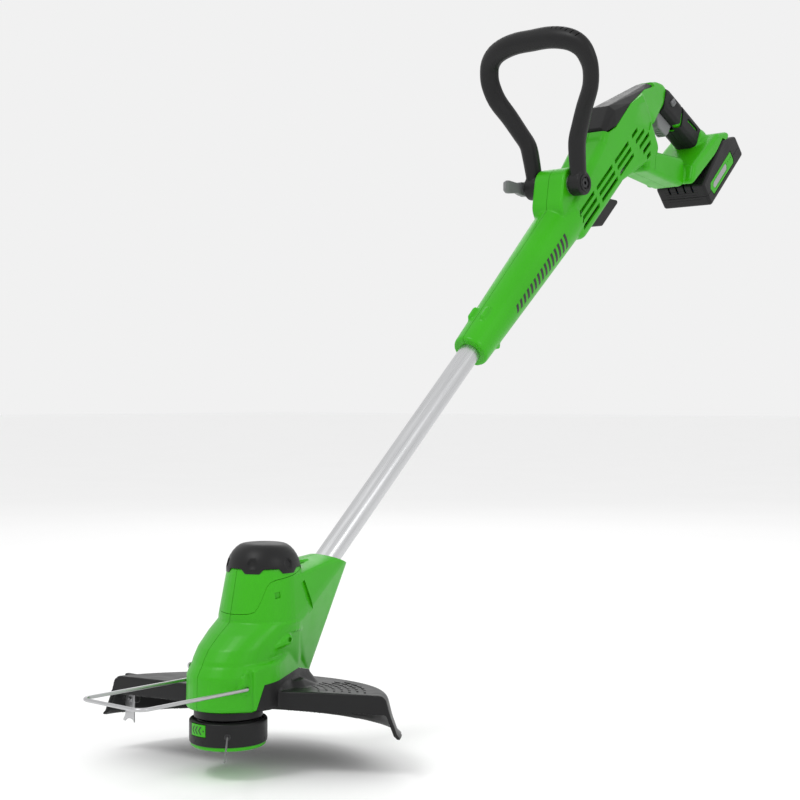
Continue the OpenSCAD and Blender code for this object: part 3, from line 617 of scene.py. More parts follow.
class TRIMMER_OT_line_head(bpy.types.Operator):
    """Builds the spool housing, its cover and the two latch tabs"""
    bl_idname = "trimmer.line_head"
    bl_label = "Line head"

    def execute(self, context):
        steps = context.scene.trimmer_sizes.steps
        inner = 35.5
        profile = [(5.05, 21), (9, 21), (9, 24.5), (30.2, 24.5), (30.2, 22), (32.2, 22),
                   (32.2, 24.5), (inner - 1, 24.5), (inner, 23.5), (inner, 4.2), (37.1, 4.2)]
        profile += [(37.7, 5), (38, 8), (38, 22.4)] + arc(35.6, 24.4, 2.4, 0, 90, 5)
        profile += [(33.6, 26.8), (33, 25.9), (31, 25.9), (30.4, 26.8), (12, 26.8), (12, 33),
                    (5.05, 33), (5.05, 21)]
        bm = bmesh.new()
        lathe(bm, profile, steps)
        shell = to_object(bm, "shell")

        def windows(bm):
            for turn_by in (0, 180):
                turn = Matrix.Rotation(math.radians(TAB_ANGLE + turn_by), 4, "Z")
                bar(bm, (38, 0, 19.2), (14, 20.7, 12.7), UPRIGHT, turn)
            turn = Matrix.Rotation(math.radians(LINE_ANGLE), 4, "Z")
            rod(bm, (38, 0, 14.5), 3.05, 12, ALONG_X, turn, segments=32)

        def grooves(bm):
            for i in range(24):
                turn = Matrix.Rotation(math.radians(i * 15 + 7.5), 4, "Z")
                bar(bm, (38.3, 0, 7.6), (0.9, 1.1, 4.4), UPRIGHT, turn)

        carve_shapes(shell, windows, grooves)
        finish_piece(shell, "spool_cup", "black_plastic", "cutting_head", ["spool_housing"], 30)

        def cover(bm):
            lathe(bm, [(0.01, 0), (33.5, 0), (34.6, 0.2), (36.2, 1.5), (36.5, 2.2), (36.5, 3.9),
                       (8.5, 3.9), (8.5, 6), (6.5, 6), (6.5, 3.9), (0.01, 3.9)], steps)

        plate_piece = piece(cover, "spool_lid", "green_plastic", "cutting_head", ["spool_cover"], 30)

        def lid_ribs(bm):
            for i in range(6):
                turn = Matrix.Rotation(math.radians(i * 60 + 20), 4, "Z")
                bar(bm, (22, 0, -0.3), (12, 2.2, 1.6), UPRIGHT, turn)

        carve_shapes(plate_piece, lid_ribs)
        for word, turn_by, body in (("front", 0, "front_tab"), ("rear", 180, "rear_tab")):
            self.latch_tab(word, turn_by, body)
        return {"FINISHED"}

    def latch_tab(self, word, turn_by, body):
        """A curved press tab with three chevrons and a dot, with dark inserts in their grooves as
        painted shade.
        """
        turn = Matrix.Rotation(math.radians(TAB_ANGLE + turn_by), 4, "Z")
        tab = self.slab(35.4, 38.35, 13.5, 24.9, turn)

        def trim(bm):
            bar(bm, (38, 0, 19.2), (12, 19.9, 11.2), UPRIGHT, turn)

        def marks(bm):
            for k in (-1, 0, 1):
                y = -1.9 + k * 4.8
                outline = [(-1.6, 0), (1.2, 3.9), (3, 3.9), (0.2, 0), (3, -3.9), (1.2, -3.9)]
                prism(bm, [(36.4, y + dy, 19.2 + z) for dy, z in outline], (4.5, 0, 0), turn)
            rod(bm, (38.6, 7.9, 19.2), 0.95, 4.4, ALONG_X, turn, segments=20)

        carve_shapes(tab, trim, operation="INTERSECT")
        carve_shapes(tab, marks)
        finish_piece(tab, f"press_tab_{word}", "green_plastic", body, [f"latch_tab_{word}"], 30)
        # Dark inserts in the chevron and dot grooves: painted shade, standing in for the shadow inside
        # the grooves
        painted_shade_insert = carve_shapes(self.slab(37.3, 38.1, 14.6, 23.8, turn), marks, operation="INTERSECT")
        finish_piece(painted_shade_insert, f"tab_shade_inserts_{word}", "dark_print_and_painted_shade", body, (), 30)

    def slab(self, inner, outer, low, high, turn):
        """A curved slab that follows the wall of the spool housing."""
        bm = bmesh.new()
        lathe(bm, [(inner, low), (outer, low), (outer, high), (inner, high), (inner, low)], 60,
              36, -18)
        bmesh.ops.holes_fill(bm, edges=bm.edges, sides=0)
        bmesh.ops.recalc_face_normals(bm, faces=bm.faces)
        bmesh.ops.transform(bm, matrix=turn, verts=bm.verts)
        return to_object(bm, "slab")


# ---------- guards ----------

GUARD_TILT = Matrix.Translation((0, 0, 53.5)) @ Matrix.Rotation(math.radians(19), 4, "Z") \
    @ Matrix.Rotation(math.radians(4), 4, "Y") @ Matrix.Rotation(math.radians(-19), 4, "Z")
GUARD_FIRST = -58
GUARD_SWEEP = 154


def guard_shell(name, steps):
    """The rolled pan of the guard, spun and given its wall."""
    profile = [(30, 0), (90, 0.6), (143, 0)] + arc(147, -9.5, 9.6, 84, 18, 7)
    profile += [(160.5, -22), (165.8, -35.6), (168.3, -38.6), (170.2, -39.4)]
    bm = bmesh.new()
    lathe(bm, profile, steps, GUARD_SWEEP, GUARD_FIRST)
    bmesh.ops.recalc_face_normals(bm, faces=bm.faces)
    if sum(f.normal.z * f.calc_area() for f in bm.faces) < 0:
        bmesh.ops.reverse_faces(bm, faces=bm.faces)
    bmesh.ops.transform(bm, matrix=GUARD_TILT, verts=bm.verts)
    pan = to_object(bm, name)
    thick = pan.modifiers.new("wall", "SOLIDIFY")
    thick.thickness = 2.8 * MM
    thick.offset = -1
    return bake(pan)


def draw_guard_ribs(bm):
    for k, angle in ((0, GUARD_FIRST + 0.6), (1, GUARD_FIRST + GUARD_SWEEP - 0.6)):
        turn = GUARD_TILT @ Matrix.Rotation(math.radians(angle), 4, "Z")
        corner_block(bm, [(x, y, z) for y in (-1.4, 1.4) for x, z in (
            (40, -1), (149, -1), (155, -8), (160, -19), (150, -17.5), (40, -17.5))], turn)
        corner_block(bm, [(x, y, z) for y in (-1.4, 1.4) for x, z in (
            (152, -6), (155.6, -8), (168, -39.2), (164, -39.2), (156, -20))], turn)
    for angle in range(-40, 90, 13):
        turn = GUARD_TILT @ Matrix.Rotation(math.radians(angle), 4, "Z")
        corner_block(bm, [(x, y, z) for y in (-1.2, 1.2) for x, z in (
            (96, -1), (150, -1), (154, -9), (150, -11), (120, -8), (96, -3))], turn)


def draw_comb(bm):
    """Short comb ribs on the inside of the skirt beside the cutter."""
    for i in range(14):
        turn = GUARD_TILT @ Matrix.Rotation(math.radians(60 + i * 2.3), 4, "Z")
        corner_block(bm, [(x, y, z) for y in (-0.9, 0.9) for x, z in (
            (148, -6), (155, -6), (160, -24), (154.5, -24))], turn)


class TRIMMER_OT_guard(bpy.types.Operator):
    """Builds the black half guard with its saddle, ribs and cutter bracket"""
    bl_idname = "trimmer.guard"
    bl_label = "Guard"

    def execute(self, context):
        def forms(bm):
            pan = guard_shell("pan", 110)
            bm.from_mesh(pan.data)
            bmesh.ops.scale(bm, vec=(1 / MM, 1 / MM, 1 / MM), verts=bm.verts)
            drop(pan)
            draw_guard_ribs(bm)
            draw_comb(bm)
            draw_skirt(bm)
            # foot that spreads from the saddle onto the pan
            hull(bm, [((30, 0, 50), 44), ((92, 2, 46), 26), ((88, 0, 61), 16), ((30, 0, 57), 40)])
            hull(bm, [((60, -26, 50), 17), ((84, -20, 48), 15), ((62, -24, 58), 12)])
            bar(bm, (3.6, 149, 36), (6.2, 19.6, 29), soften=1.0)

        guard = fuse(forms, "guard", 1.25, 4)
        carve_shapes(guard, self.remove_case)
        cut(guard, rod, (0, 0, 15.5), 42.5, 41)
        carve(guard, fuse(draw_case_inside, "inside", 2.2, 3))
        finish_piece(guard, "half_guard", "black_plastic", "frame", ["guard"], 40)
        self.texture_patch()
        return {"FINISHED"}

    def remove_case(self, bm):
        """Everything above the edge where the saddle meets the green shells."""
        plate(bm, [(-70, -20), (-5.4, -20), (-5.4, 35.4), (5.9, 61.7), (72.9, 67.5), (112, 57.9),
                   (128, 57.9), (128, 140), (-70, 140)], -46.5, 46.5)

    def texture_patch(self):
        """Raised grip pattern of short arcs on the near wing."""
        def draw(bm):
            for row in range(7):
                r = 88 + row * 7.5
                first = -50 + (row % 2) * 3.2
                for k in range(6):
                    turn = GUARD_TILT @ Matrix.Rotation(math.radians(first + k * 6.4), 4, "Z")
                    bar(bm, (r, 0, 0.4), (2.2, r * 0.075, 1.1), UPRIGHT, turn, 0.3)

        piece(draw, "guard_tread", "black_plastic", "frame", (), 30)


class TRIMMER_OT_edge_parts(bpy.types.Operator):
    """Builds the wire edge guard and the line cutter"""
    bl_idname = "trimmer.edge_parts"
    bl_label = "Edge guard and cutter"

    def execute(self, context):
        self.wire()
        self.blade()
        return {"FINISHED"}

    def wire(self):
        """Bent steel wire, drawn as a curve with a round section."""
        arm, bend, corner, front = 42.3, 3.5, 10, 145

        half = [(-13, 34.5)] + arc(-13 - bend, arm - bend, bend, 0, 90, 8)
        half += arc(corner - front, arm - corner, corner, 90, 180, 8)
        route = half + [(x, -y) for x, y in reversed(half)]
        curve = bpy.data.curves.new("wire", "CURVE")
        curve.dimensions = "3D"
        curve.bevel_depth = 1.8 * MM
        curve.bevel_resolution = 5
        curve.use_fill_caps = True
        line = curve.splines.new("POLY")
        line.points.add(len(route) - 1)
        for point, (x, y) in zip(line.points, route):
            point.co = (x * MM, y * MM, 60 * MM, 1)
        temp = add_object("wire_curve", curve)
        graph = bpy.context.evaluated_depsgraph_get()
        mesh = bpy.data.meshes.new_from_object(temp.evaluated_get(graph))
        bpy.data.objects.remove(temp)
        wire = add_object("wire", mesh)
        finish_piece(wire, "edge_wire", "steel", "edge_guard", ["wire_guard"], 60)

    def blade(self):
        """Pressed steel line cutter with a fishtail end."""
        outline = [(141, 34), (155, 34), (155, 11), (156, 7), (159, 2.5), (156, 1.3), (152.5, 4.2),
                   (148, 5), (143.5, 4.2), (141, 1.3)]

        def draw(bm):
            prism(bm, [(-1, y, z) for y, z in outline], (1.45, 0, 0))
            bmesh.ops.bevel(bm, geom=list(bm.edges), offset=0.2, offset_type="OFFSET",
                            segments=1, profile=0.5, affect="EDGES", material=-1)

        piece(draw, "line_cutter", "steel", "frame", ["cutter_blade"], 30)


# ---------- handle housing ----------

VENT_ROWS = [(577 + 57 * g, 51 - 5 * (g == 2), 3.8 - 9.5 * row) for g in range(3) for row in range(3)]
VENT_ROWS += [(747 + 3 * row, (20, 30, 34, 27, 14)[row], 4.2 - 10.5 * row) for row in range(5)]


def draw_nose(bm, t):
    """The part of the body that narrows towards the top of the grip."""
    rings = []
    for s, n, half in ((796, 30, 23.4), (812, -10, 23.4), (851, 13, 13.8), (866, 4, 13.8),
                       (874, -4, 13.8), (876, -11, 13.8)):
        for side in (-1, 1):
            for share, inset in ((0, 4.6), (0.35, 1.7), (1, 0)):
                rings.append(((s, side * (half - t - share * 5), n), 8.9 - t - inset, ALONG_Y))
    hull(bm, rings, SHAFT)


def draw_housing(bm):
    """Barrel, body, nose, bridge, foot and grip core of the handle housing."""
    rings = [((s, 0, n), r, ALONG_X) for s, n, r in (
        (324, 0, 20.6), (327, 0, 21.8), (334, 0, 22), (345, 0, 22.3), (460, 0, 26), (582, 0, 29.6))]
    hull(bm, rings, SHAFT)
    block(bm, [(578, 8), (578, -15), (690, 26), (690, -15)], 14, 26, 7, SHAFT)
    block(bm, [(700, 30), (738, 40), (800, 25), (786, -38), (700, -15)], 14, 26, 6, SHAFT)
    draw_nose(bm, 0)
    block(bm, [(762, -52), (776, -44), (834, -98), (816, -116)], 7, 24, 5, SHAFT)
    block(bm, [(870, -26), (908, -112)], 16, 15.5, 9, SHAFT)
    block(bm, [(824, -121), (840, -111), (850, -120), (922, -118), (944, -131)], 5, 37.6, 4.5, SHAFT)
    # saddle that carries the loop's pivot
    block(bm, [(577, 20), (600, 38)], 20, 22.6, 1.6, SHAFT)
    # collar round the neck of the foot
    hull(bm, [((903, 0, -103), 20.5, Matrix.Rotation(math.radians(-24), 4, "Y")),
              ((909, 0, -116), 24, Matrix.Rotation(math.radians(-24), 4, "Y"))], SHAFT)
    # screw lugs on the barrel
    for side in (-1, 1):
        hull(bm, [((360, side * 9, 18), 4.2), ((376, side * 9, 18), 4.2),
                  ((362, side * 9, 25.5), 2.6), ((374, side * 9, 26), 2.6)], SHAFT)
        hull(bm, [((352, side * 13, -15), 4, ALONG_Y), ((356, side * 16, -18), 3.4, ALONG_Y)], SHAFT)


def draw_housing_hollow(bm):
    """Space inside the housing, as overlapping rounded forms."""
    rings = [((s, 0, 0), r, ALONG_X) for s, r in ((345, 18.4), (460, 22.4), (590, 26))]
    hull(bm, rings, SHAFT)
    block(bm, [(590, 8), (590, -14), (690, 25), (690, -14)], 11, 23.2, 4, SHAFT)
    block(bm, [(698, 29), (738, 39), (797, 24), (785, -36), (698, -14)], 11, 23.2, 4, SHAFT)
    draw_nose(bm, 2.6)
    block(bm, [(762, -50), (776, -44), (833, -98), (816, -114)], 4, 21, 2, SHAFT)
    block(bm, [(868.5, -30), (909, -116)], 13, 12.5, 6, SHAFT)
    block(bm, [(828, -121), (840, -113), (850, -122), (922, -121), (938, -130)], 2.5, 34.6, 2, SHAFT)


COVER_ZONE = [(690, 70), (706, 40), (724, 35.5), (775, 38), (828, 26), (850, 15.5), (857, 13),
              (862, 18), (866, 30), (850, 50), (760, 80)]


def draw_vents(bm):
    for start, length, n in VENT_ROWS:
        points = [(start, n - 1.5), (start + 2.5, n + 2.4), (start + length, n + 2.4),
                  (start + length - 2.5, n - 2.4), (start + 0.6, n - 2.4)]
        plate(bm, points, -60, 60, SHAFT)


class TRIMMER_OT_housing(bpy.types.Operator):
    """Builds the two green halves of the handle housing"""
    bl_idname = "trimmer.housing"
    bl_label = "Handle housing"

    def execute(self, context):
        body = hollow(fuse(draw_housing, "body", size("body_grain"), 5),
                      fuse(draw_housing_hollow, "inside", 2.4, 2))

        def styling(bm):
            """Shallow recess on each flank ahead of the trigger, and a bridge seam."""
            mirrored_block(bm, [(764, 14), (786, 28), (812, 18), (808, -6), (790, -14), (775, 4)],
                           25.2, 40, SHAFT)
            mirrored_plate(bm, [(754, -75), (755, -75), (798, -38), (797, -38)], 23.2, 40, SHAFT)

        carve_shapes(body, draw_vents)
        cut(body, plate, COVER_ZONE, -60, 60, SHAFT)
        # bores for the tube and the loop's pivot
        cut(body, rod, (340, 0, 0), TUBE_BORE, 80, ALONG_X, SHAFT)
        cut(body, rod, (PIVOT[0], 0, PIVOT[1]), 6.1, 120, ALONG_Y, SHAFT)
        # windows for the trigger and the lock-off button
        cut(body, plate, [(836, -26), (832, -40), (842, -68), (866, -70), (884, -60), (884, -30),
                          (872, -14), (856, -14)], -8, 8, SHAFT)
        cut(body, bar, (877, -13.4, -28), (10.8, 53.2, 8.8), UPRIGHT, SHAFT)
        # bay and mouth for the battery pack
        cut(body, plate, [(700, -133), (838, -137.6), (929, -124.6), (936, -133.6), (990, -142),
                          (990, -220), (700, -220)], -70, 70, SHAFT)
        cut(body, bar, (900, 0, -135), (90, 60, 14), UPRIGHT, SHAFT)
        carve_shapes(body, styling)
        finish_halves(body, "handle_body", "green_plastic", "housing")
        self.baffles()
        self.barrel_mark()
        return {"FINISHED"}

    def baffles(self):
        """Thin screens inside the flanks that keep clippings out of the vents."""
        outline = [(586, -16), (586, 10), (700, 32), (738, 36), (786, 24), (782, -26), (700, -16)]
        for side, word in ((-1, "left"), (1, "right")):
            def draw(bm, side=side):
                plate(bm, outline, *sorted((side * 19.4, side * 20.6)), SHAFT)
                for i in range(20):
                    bar(bm, (592 + 9.6 * i, side * 20.8, 6), (1, 0.6, 18), UPRIGHT, SHAFT)

            piece(draw, f"vent_screen_{word}", "green_plastic", "frame")

    def barrel_mark(self):
        """Plain slanted hatch printed along the left of the barrel."""
        bm = bmesh.new()
        start, end = 398, 540
        slope = (29.6 - 22) / (582 - 334)
        radius = [22 + (s - 334) * slope for s in (start, end)]
        middle, length = (start + end) / 2, end - start
        rod(bm, (middle, 0, 0), radius[0] + 0.15, length, ALONG_X, SHAFT, radius[1] + 0.15, 96)
        print_ = to_object(bm, "print")

        def bars(bm):
            for i in range(15):
                s0 = start + 3 + i * 9.2
                height = 4.6 + 0.32 * i
                plate(bm, [(s0, -height - 2), (s0 + 4.6, -height - 2), (s0 + 8.4, height - 2),
                           (s0 + 3.8, height - 2)], -60, -5, SHAFT)

        cut(print_, rod, (middle, 0, 0), radius[0] - 0.3, length + 4, ALONG_X, SHAFT,
            radius[1] - 0.3, 96)
        carve_shapes(print_, bars, operation="INTERSECT")
        finish_piece(print_, "barrel_hatch", "dark_print_and_painted_shade", "frame", (), 30)


class TRIMMER_OT_covers(bpy.types.Operator):
    """Builds the black top cover and the belly cover"""
    bl_idname = "trimmer.covers"
    bl_label = "Covers"

    def execute(self, context):
        def top(bm):
            ridge = [(x, y, z) for x, z, y in (
                (707, 42, 19), (709, 47, 15), (746, 56, 12.5), (742, 50, 22), (852, 21.6, 8),
                (856.5, 18.5, 6), (726, 36.2, 25.6), (775, 38.6, 25.6), (828, 26.6, 17.5),
                (850, 16, 13), (856.5, 13.6, 11.5), (706.6, 40.6, 21)) for y in (-y, y)]
            corner_block(bm, ridge, SHAFT)

        cover = fuse(top, "top", 0.9, 3)
        cut(cover, corner_block, [(x, side * y, z) for side in (-1, 1) for x, z, y in (
            (712, 34, 18), (744, 51, 9), (742, 42, 18), (780, 37, 18), (840, 19, 7),
            (726, 28, 20), (780, 28, 21), (828, 16, 12))], SHAFT)
        finish_piece(cover, "crown_cover", "black_plastic", "frame", ["top_cover"], 24)

        def under(bm):
            block(bm, [(603, -28), (626, -44), (672, -44), (655, -28)], 3, 18, 2, SHAFT)

        def slots(bm):
            for k in range(3):
                bar(bm, (634 + 9 * k, 0, -48), (3, 24, 4), UPRIGHT, SHAFT)

        keel = fuse(under, "keel", 0.9, 2)
        cut(keel, plate, [(560, -29.4), (720, -29.4), (720, 0), (560, 0)], -40, 40, SHAFT)
        carve_shapes(keel, slots)
        finish_piece(keel, "keel_cover", "black_plastic", "frame", ["belly_cover"], 30)
        return {"FINISHED"}


# ---------- loop handle ----------

# Height along the loop, half width of the loop, half width, half depth and turn of its tube
LOOP_SIDE = [
    (0, 33, 9.2, 11, 0), (20, 33.6, 9.8, 11.6, 0), (44, 35.4, 10.4, 12, 0), (56, 38, 10.6, 11.5, 4),
    (70, 45, 10.8, 10.8, 8), (93, 57, 11.4, 9.6, 14), (115, 70, 12, 8.9, 19), (135, 75, 12.2, 8.6, 20),
    (149, 74, 12.4, 8.8, 16), (162, 69, 12.8, 9.4, 12), (172, 58, 13.2, 10.5, 6),
    (178, 42, 13.5, 11.5, 2)]
LOOP_TOP = (181, 13.5, 11.5, 0)
LEAN_LOW, LEAN_HIGH, BEND = math.radians(11), math.radians(20), 55


def loop_point(height, y):
    low, high = min(height, BEND), max(height - BEND, 0)
    return (-low * math.sin(LEAN_LOW) - high * math.sin(LEAN_HIGH), y,
            low * math.cos(LEAN_LOW) + high * math.cos(LEAN_HIGH))


def between(rows, i, share):
    """A smooth step between rows i and i + 1 of a table of numbers."""
    at = [rows[max(0, min(len(rows) - 1, i + k))] for k in (-1, 0, 1, 2)]
    return [0.5 * (2 * b + (c - a) * share + (2 * a - 5 * b + 4 * c - d) * share ** 2
                   + (3 * b - a - 3 * c + d) * share ** 3) for a, b, c, d in zip(*at)]


def loop_rows():
    """Centre and oval of the tube from one arm over the top to the other."""
    side = [(*loop_point(h, y), wide, deep, turn) for h, y, wide, deep, turn in LOOP_SIDE]
    top = [(*loop_point(LOOP_TOP[0], y), *LOOP_TOP[1:]) for y in (22, 0, -22)]
    other = [(x, -y, z, wide, deep, turn) for x, y, z, wide, deep, turn in reversed(side)]
    rows = side + top + other
    return [between(rows, i, k / 3) for i in range(len(rows) - 1) for k in range(3)] + [rows[-1]]


class TRIMMER_OT_loop(bpy.types.Operator):
    """Builds the black loop handle"""
    bl_idname = "trimmer.loop"
    bl_label = "Loop handle"

    def execute(self, context):
        loop = fuse(self.form, "loop", 1.1, 5)

        def slits(bm):
            for side in (-1, 1):
                for i in range(6):
                    share = i / 5
                    y = side * (34 + 34 * share)
                    x, _, z = loop_point(192 - 15 * share ** 1.7, y)
                    lean = Matrix.Rotation(math.radians(-side * (10 + 36 * share)), 4, "X")
                    bar(bm, (x - 3, y, z), (12, 1.3, 5), lean, PIVOT_FRAME)

        # bolt bore, the pocket of its head, and the flat faces of the arms
        cut(loop, rod, (0, 0, 0), 4.15, 160, ALONG_Y, PIVOT_FRAME)
        cut(loop, rod, (0, -47, 0), 7.6, 20, ALONG_Y, PIVOT_FRAME, segments=6)
        cut(loop, bar, (0, 0, 4), (60, 47.6, 44), UPRIGHT, PIVOT_FRAME)
        carve_shapes(loop, slits)
        finish_piece(loop, "loop_grip", "black_plastic", "loop_handle", ["aux_handle"], 40)
        self.hub_ring()
        self.lever()
        return {"FINISHED"}

    def form(self, bm):
        """Oval tube along the loop, with a round hub at the end of each arm."""
        rows = loop_rows()
        turned = []
        for i, (x, y, z, wide, deep, lean) in enumerate(rows):
            before = Vector(rows[max(i - 1, 0)][:3])
            after = Vector(rows[min(i + 1, len(rows) - 1)][:3])
            along = (after - before).normalized()
            across = Vector((1, 0, 0)).cross(along).normalized()
            turn = Matrix((across, along.cross(across), along)).transposed().to_4x4()
            turn = turn @ Matrix.Rotation(math.radians(lean), 4, "Z")
            turned.append(((x, y, z), wide, turn, deep / wide))
        for first, second in zip(turned, turned[1:]):
            hull(bm, [first, second], PIVOT_FRAME)
        for side in (-1, 1):
            hull(bm, [((0, side * y, 0), r, ALONG_Y) for y, r in (
                (24.1, 14), (25.3, 15), (40.8, 15), (42, 13.6))], PIVOT_FRAME)

    def hub_ring(self):
        """Raised ring round the bolt pocket on the left arm."""
        def draw(bm):
            lathe(bm, [(8, 0), (10.4, 0), (10.9, 0.8), (10.4, 1.7), (8.6, 1.7), (8, 1.1), (8, 0)], 48)
            place = PIVOT_FRAME @ Matrix.Translation((0, -41.6, 0)) @ ALONG_Y
            bmesh.ops.transform(bm, matrix=place, verts=bm.verts)

        piece(draw, "bolt_ring", "black_plastic", "loop_handle")

    def lever(self):
        """Grey clamp lever with a waisted thumb end."""
        def form(bm):
            hull(bm, [((0, 51, z), r) for z, r in ((-8, 5.6), (-9, 4.8), (8, 5.6), (9, 4.8))],
                 PIVOT_FRAME)
            hull(bm, [((-6, 51, -8.4), 4.2), ((-6, 51, 8.4), 4.2), ((-16, 51.2, -6), 3.6),
                      ((-16, 51.2, 6), 3.6)], PIVOT_FRAME)
            hull(bm, [((-16, 51.2, -6), 3.6), ((-16, 51.2, 6), 3.6), ((-33, 52.4, -8), 2.8),
                      ((-33, 52.4, 8), 2.8), ((-38.2, 53, -5), 2), ((-38.2, 53, 5), 2)], PIVOT_FRAME)

        def thumb_ribs(bm):
            for k in range(4):
                bar(bm, (-24 - 3.2 * k, 55.7 - 0.1 * k, 0), (1.2, 1.6, 11), UPRIGHT, PIVOT_FRAME)

        lever = fuse(form, "lever", 0.7, 3)
        cut(lever, bar, (2.4, 51, 0), (18, 20, 8.6), UPRIGHT, PIVOT_FRAME)
        cut(lever, rod, (0, 51, 0), 2.1, 40, UPRIGHT, PIVOT_FRAME)
        carve_shapes(lever, thumb_ribs)
        finish_piece(lever, "clamp_thumb_lever", "grey_plastic", "clamp_lever", ["cam_lever"], 35)


# ---------- rear grip ----------

class TRIMMER_OT_rear_grip(bpy.types.Operator):
    """Builds the soft grip pads, the trigger and the lock-off button"""
    bl_idname = "trimmer.rear_grip"
    bl_label = "Rear grip"

    def execute(self, context):
        def form(bm):
            block(bm, [(870, -20), (904, -103)], 18.4, 17.8, 8.5, SHAFT)

        pad = fuse(form, "pad", 0.9, 3)
        # room for the green core and the nose of the housing
        cut(pad, block, [(868.5, -22), (909.5, -116)], 15.7, 15.2, 8, SHAFT)
        cut(pad, draw_nose, 0.1)
        cut(pad, plate, [(800, 30), (806, -14), (846, -31), (852, -26), (862, -14), (884, -5),
                         (900, -2), (920, 30)], -40, 40, SHAFT)
        # gaps round the trigger and the lock-off button
        cut(pad, plate, [(820, -20), (830, -70), (868, -72), (882, -62), (884, -30), (870, -14)],
            -8.2, 8.2, SHAFT)
        cut(pad, bar, (877, -20, -28), (10.9, 44, 8.9), UPRIGHT, SHAFT)
        # band that shows the green core between the two soft pads, and an accent below it
        cut(pad, mirrored_plate, [(852, -50), (874, -60), (888, -51), (902, -40), (904, -45),
                                  (890, -55.5), (875, -66), (852, -56)], 9, 40, SHAFT)
        cut(pad, mirrored_plate, [(895, -67), (898.4, -69), (908.4, -92), (907, -95), (904, -94),
                                  (894, -71)], 12, 40, SHAFT)
        finish_halves(pad, "soft_grip", "soft_black", "grip_pad")
        self.trigger()
        self.lock_button()
        return {"FINISHED"}

    def trigger(self):
        def form(bm):
            block(bm, [(848, -27), (841, -40), (848.5, -59.5), (855, -60.5), (867, -56.5),
                       (871.5, -50), (866.5, -34), (863, -20.5), (858, -21)], 2.5, 7.4, 2.2, SHAFT)

        def finger_ribs(bm):
            for k in range(4):
                bar(bm, (840.2 + 1.6 * k, 0, -45 - 4 * k), (2.4, 10, 0.9), UPRIGHT, SHAFT)

        trigger = fuse(form, "trigger", 0.6, 3)
        cut(trigger, rod, (862, 0, -22), 2.05, 40, ALONG_Y, SHAFT, segments=32)
        carve_shapes(trigger, finger_ribs)
        finish_piece(trigger, "finger_trigger", "grey_plastic", "squeeze_trigger", ["trigger"], 35)

    def lock_button(self):
        bm = bmesh.new()
        bar(bm, (877, -6.5, -28), (9.9, 28, 7.9), UPRIGHT, SHAFT, 0.9)
        button = to_object(bm, "button")

        def ribs(bm):
            for k in range(4):
                bar(bm, (873.4 + 2.4 * k, -20.6, -28), (0.9, 1.2, 6), UPRIGHT, SHAFT)

        carve_shapes(button, ribs)
        finish_piece(button, "lock_off_slider", "grey_plastic", "lock_off", ["lock_button"], 30)


# ---------- battery ----------

PACK_POINTS = [(843, -172.6), (843, -144), (926, -131), (957, -147), (957.8, -172.6)]
PACK_SPLIT = -160


class TRIMMER_OT_battery(bpy.types.Operator):
    """Builds the battery pack with its label panel, ribs and latch"""
    bl_idname = "trimmer.battery"
    bl_label = "Battery pack"

    def execute(self, context):
        def outside(bm):
            block(bm, PACK_POINTS, 4.2, 38, 3, SHAFT)
            # feet and rails under the pack
            for x in (852, 880, 925):
                for side in (-1, 1):
                    bar(bm, (x, side * 20, -173.2), (14, 10, 7.4), UPRIGHT, SHAFT)

        pack = fuse(outside, "pack", 0.95, 3)
        bm = bmesh.new()
        points = [(844, -170.5), (844, -146), (925, -134), (954, -149), (955, -170.5)]
        block(bm, points, 3, 35.4, 1, SHAFT)
        pack = hollow(pack, to_object(bm, "inside"))

        def contact_slots(bm):
            for y in (-18, -6, 6, 18):
                bar(bm, (860, y, -136), (60, 2.8, 32), UPRIGHT, SHAFT)

        def end_ribs(bm):
            for k in range(5):
                bar(bm, (962, 0, -150 - 4 * k), (3, 50, 1.3), UPRIGHT, SHAFT)
                bar(bm, (838, 0, -148 - 4 * k), (2, 50, 1.3), UPRIGHT, SHAFT)

        # recesses for the side panels, and the window of the latch
        cut(pack, mirrored_block, [(854, -169.5), (930, -169.5), (934, -165), (934, -150),
                                   (858, -150), (851, -157)], 36.9, 50, SHAFT)
        cut(pack, bar, (943.4, 0, -132), (14.6, 22.6, 30), UPRIGHT, SHAFT)
        carve_shapes(pack, contact_slots, end_ribs)
        for side, word, node in ((-1, "base", "battery_tray"), (1, "lid", "battery_lid")):
            part = kept_part(pack, word, (900, 0, PACK_SPLIT + side * 60.25), (200, 120, 120), SHAFT)
            finish_piece(part, f"pack_{word}", "black_plastic", "battery", [node], 35)
        drop(pack)
        self.label()
        self.latch()
        return {"FINISHED"}

    def label(self):
        """Green side panels with a grey plate and a row of gauge dots, no lettering."""
        def panel(bm):
            mirrored_block(bm, [(856, -168.5), (929.5, -168.5), (932.6, -164.6), (932.6, -151.4),
                                (858.5, -151.4), (852.4, -157.4)], 36.7, 37.7, SHAFT)

        def dots(bm):
            for side in (-1, 1):
                for k in range(3):
                    rod(bm, (917.5 + 5 * k, side * 38, -157.5), 1.3, 1.6, ALONG_Y, SHAFT, segments=20)

        def plates(bm):
            mirrored_block(bm, [(863.4, -164), (907.4, -164), (910.8, -160.6), (910.8, -156),
                                (866, -156), (861.6, -159.4)], 36.9, 37.5, SHAFT)

        panels = piece(panel, "pack_panels", "green_plastic", "battery", ["battery_label"], 25)
        cut(panels, mirrored_block, [(862, -165), (908, -165), (912, -161), (912, -155),
                                     (865, -155), (860, -159)], 37.2, 50, SHAFT)
        carve_shapes(panels, dots)
        piece(plates, "pack_plates", "grey_print", "battery", (), 25)

    def latch(self):
        bm = bmesh.new()
        plate(bm, [(936.6, -146), (936.6, -134), (950.2, -141), (950.2, -146)], -11, 11, SHAFT)
        latch = to_object(bm, "latch")

        def ribs(bm):
            for k in range(4):
                bar(bm, (939.5 + 2.8 * k, 0, -134.2 - 1.45 * k), (0.9, 17, 1.4), UPRIGHT, SHAFT)

        carve_shapes(latch, ribs)
        finish_piece(latch, "pack_release", "grey_plastic", "pack_latch", ["battery_latch"], 30)


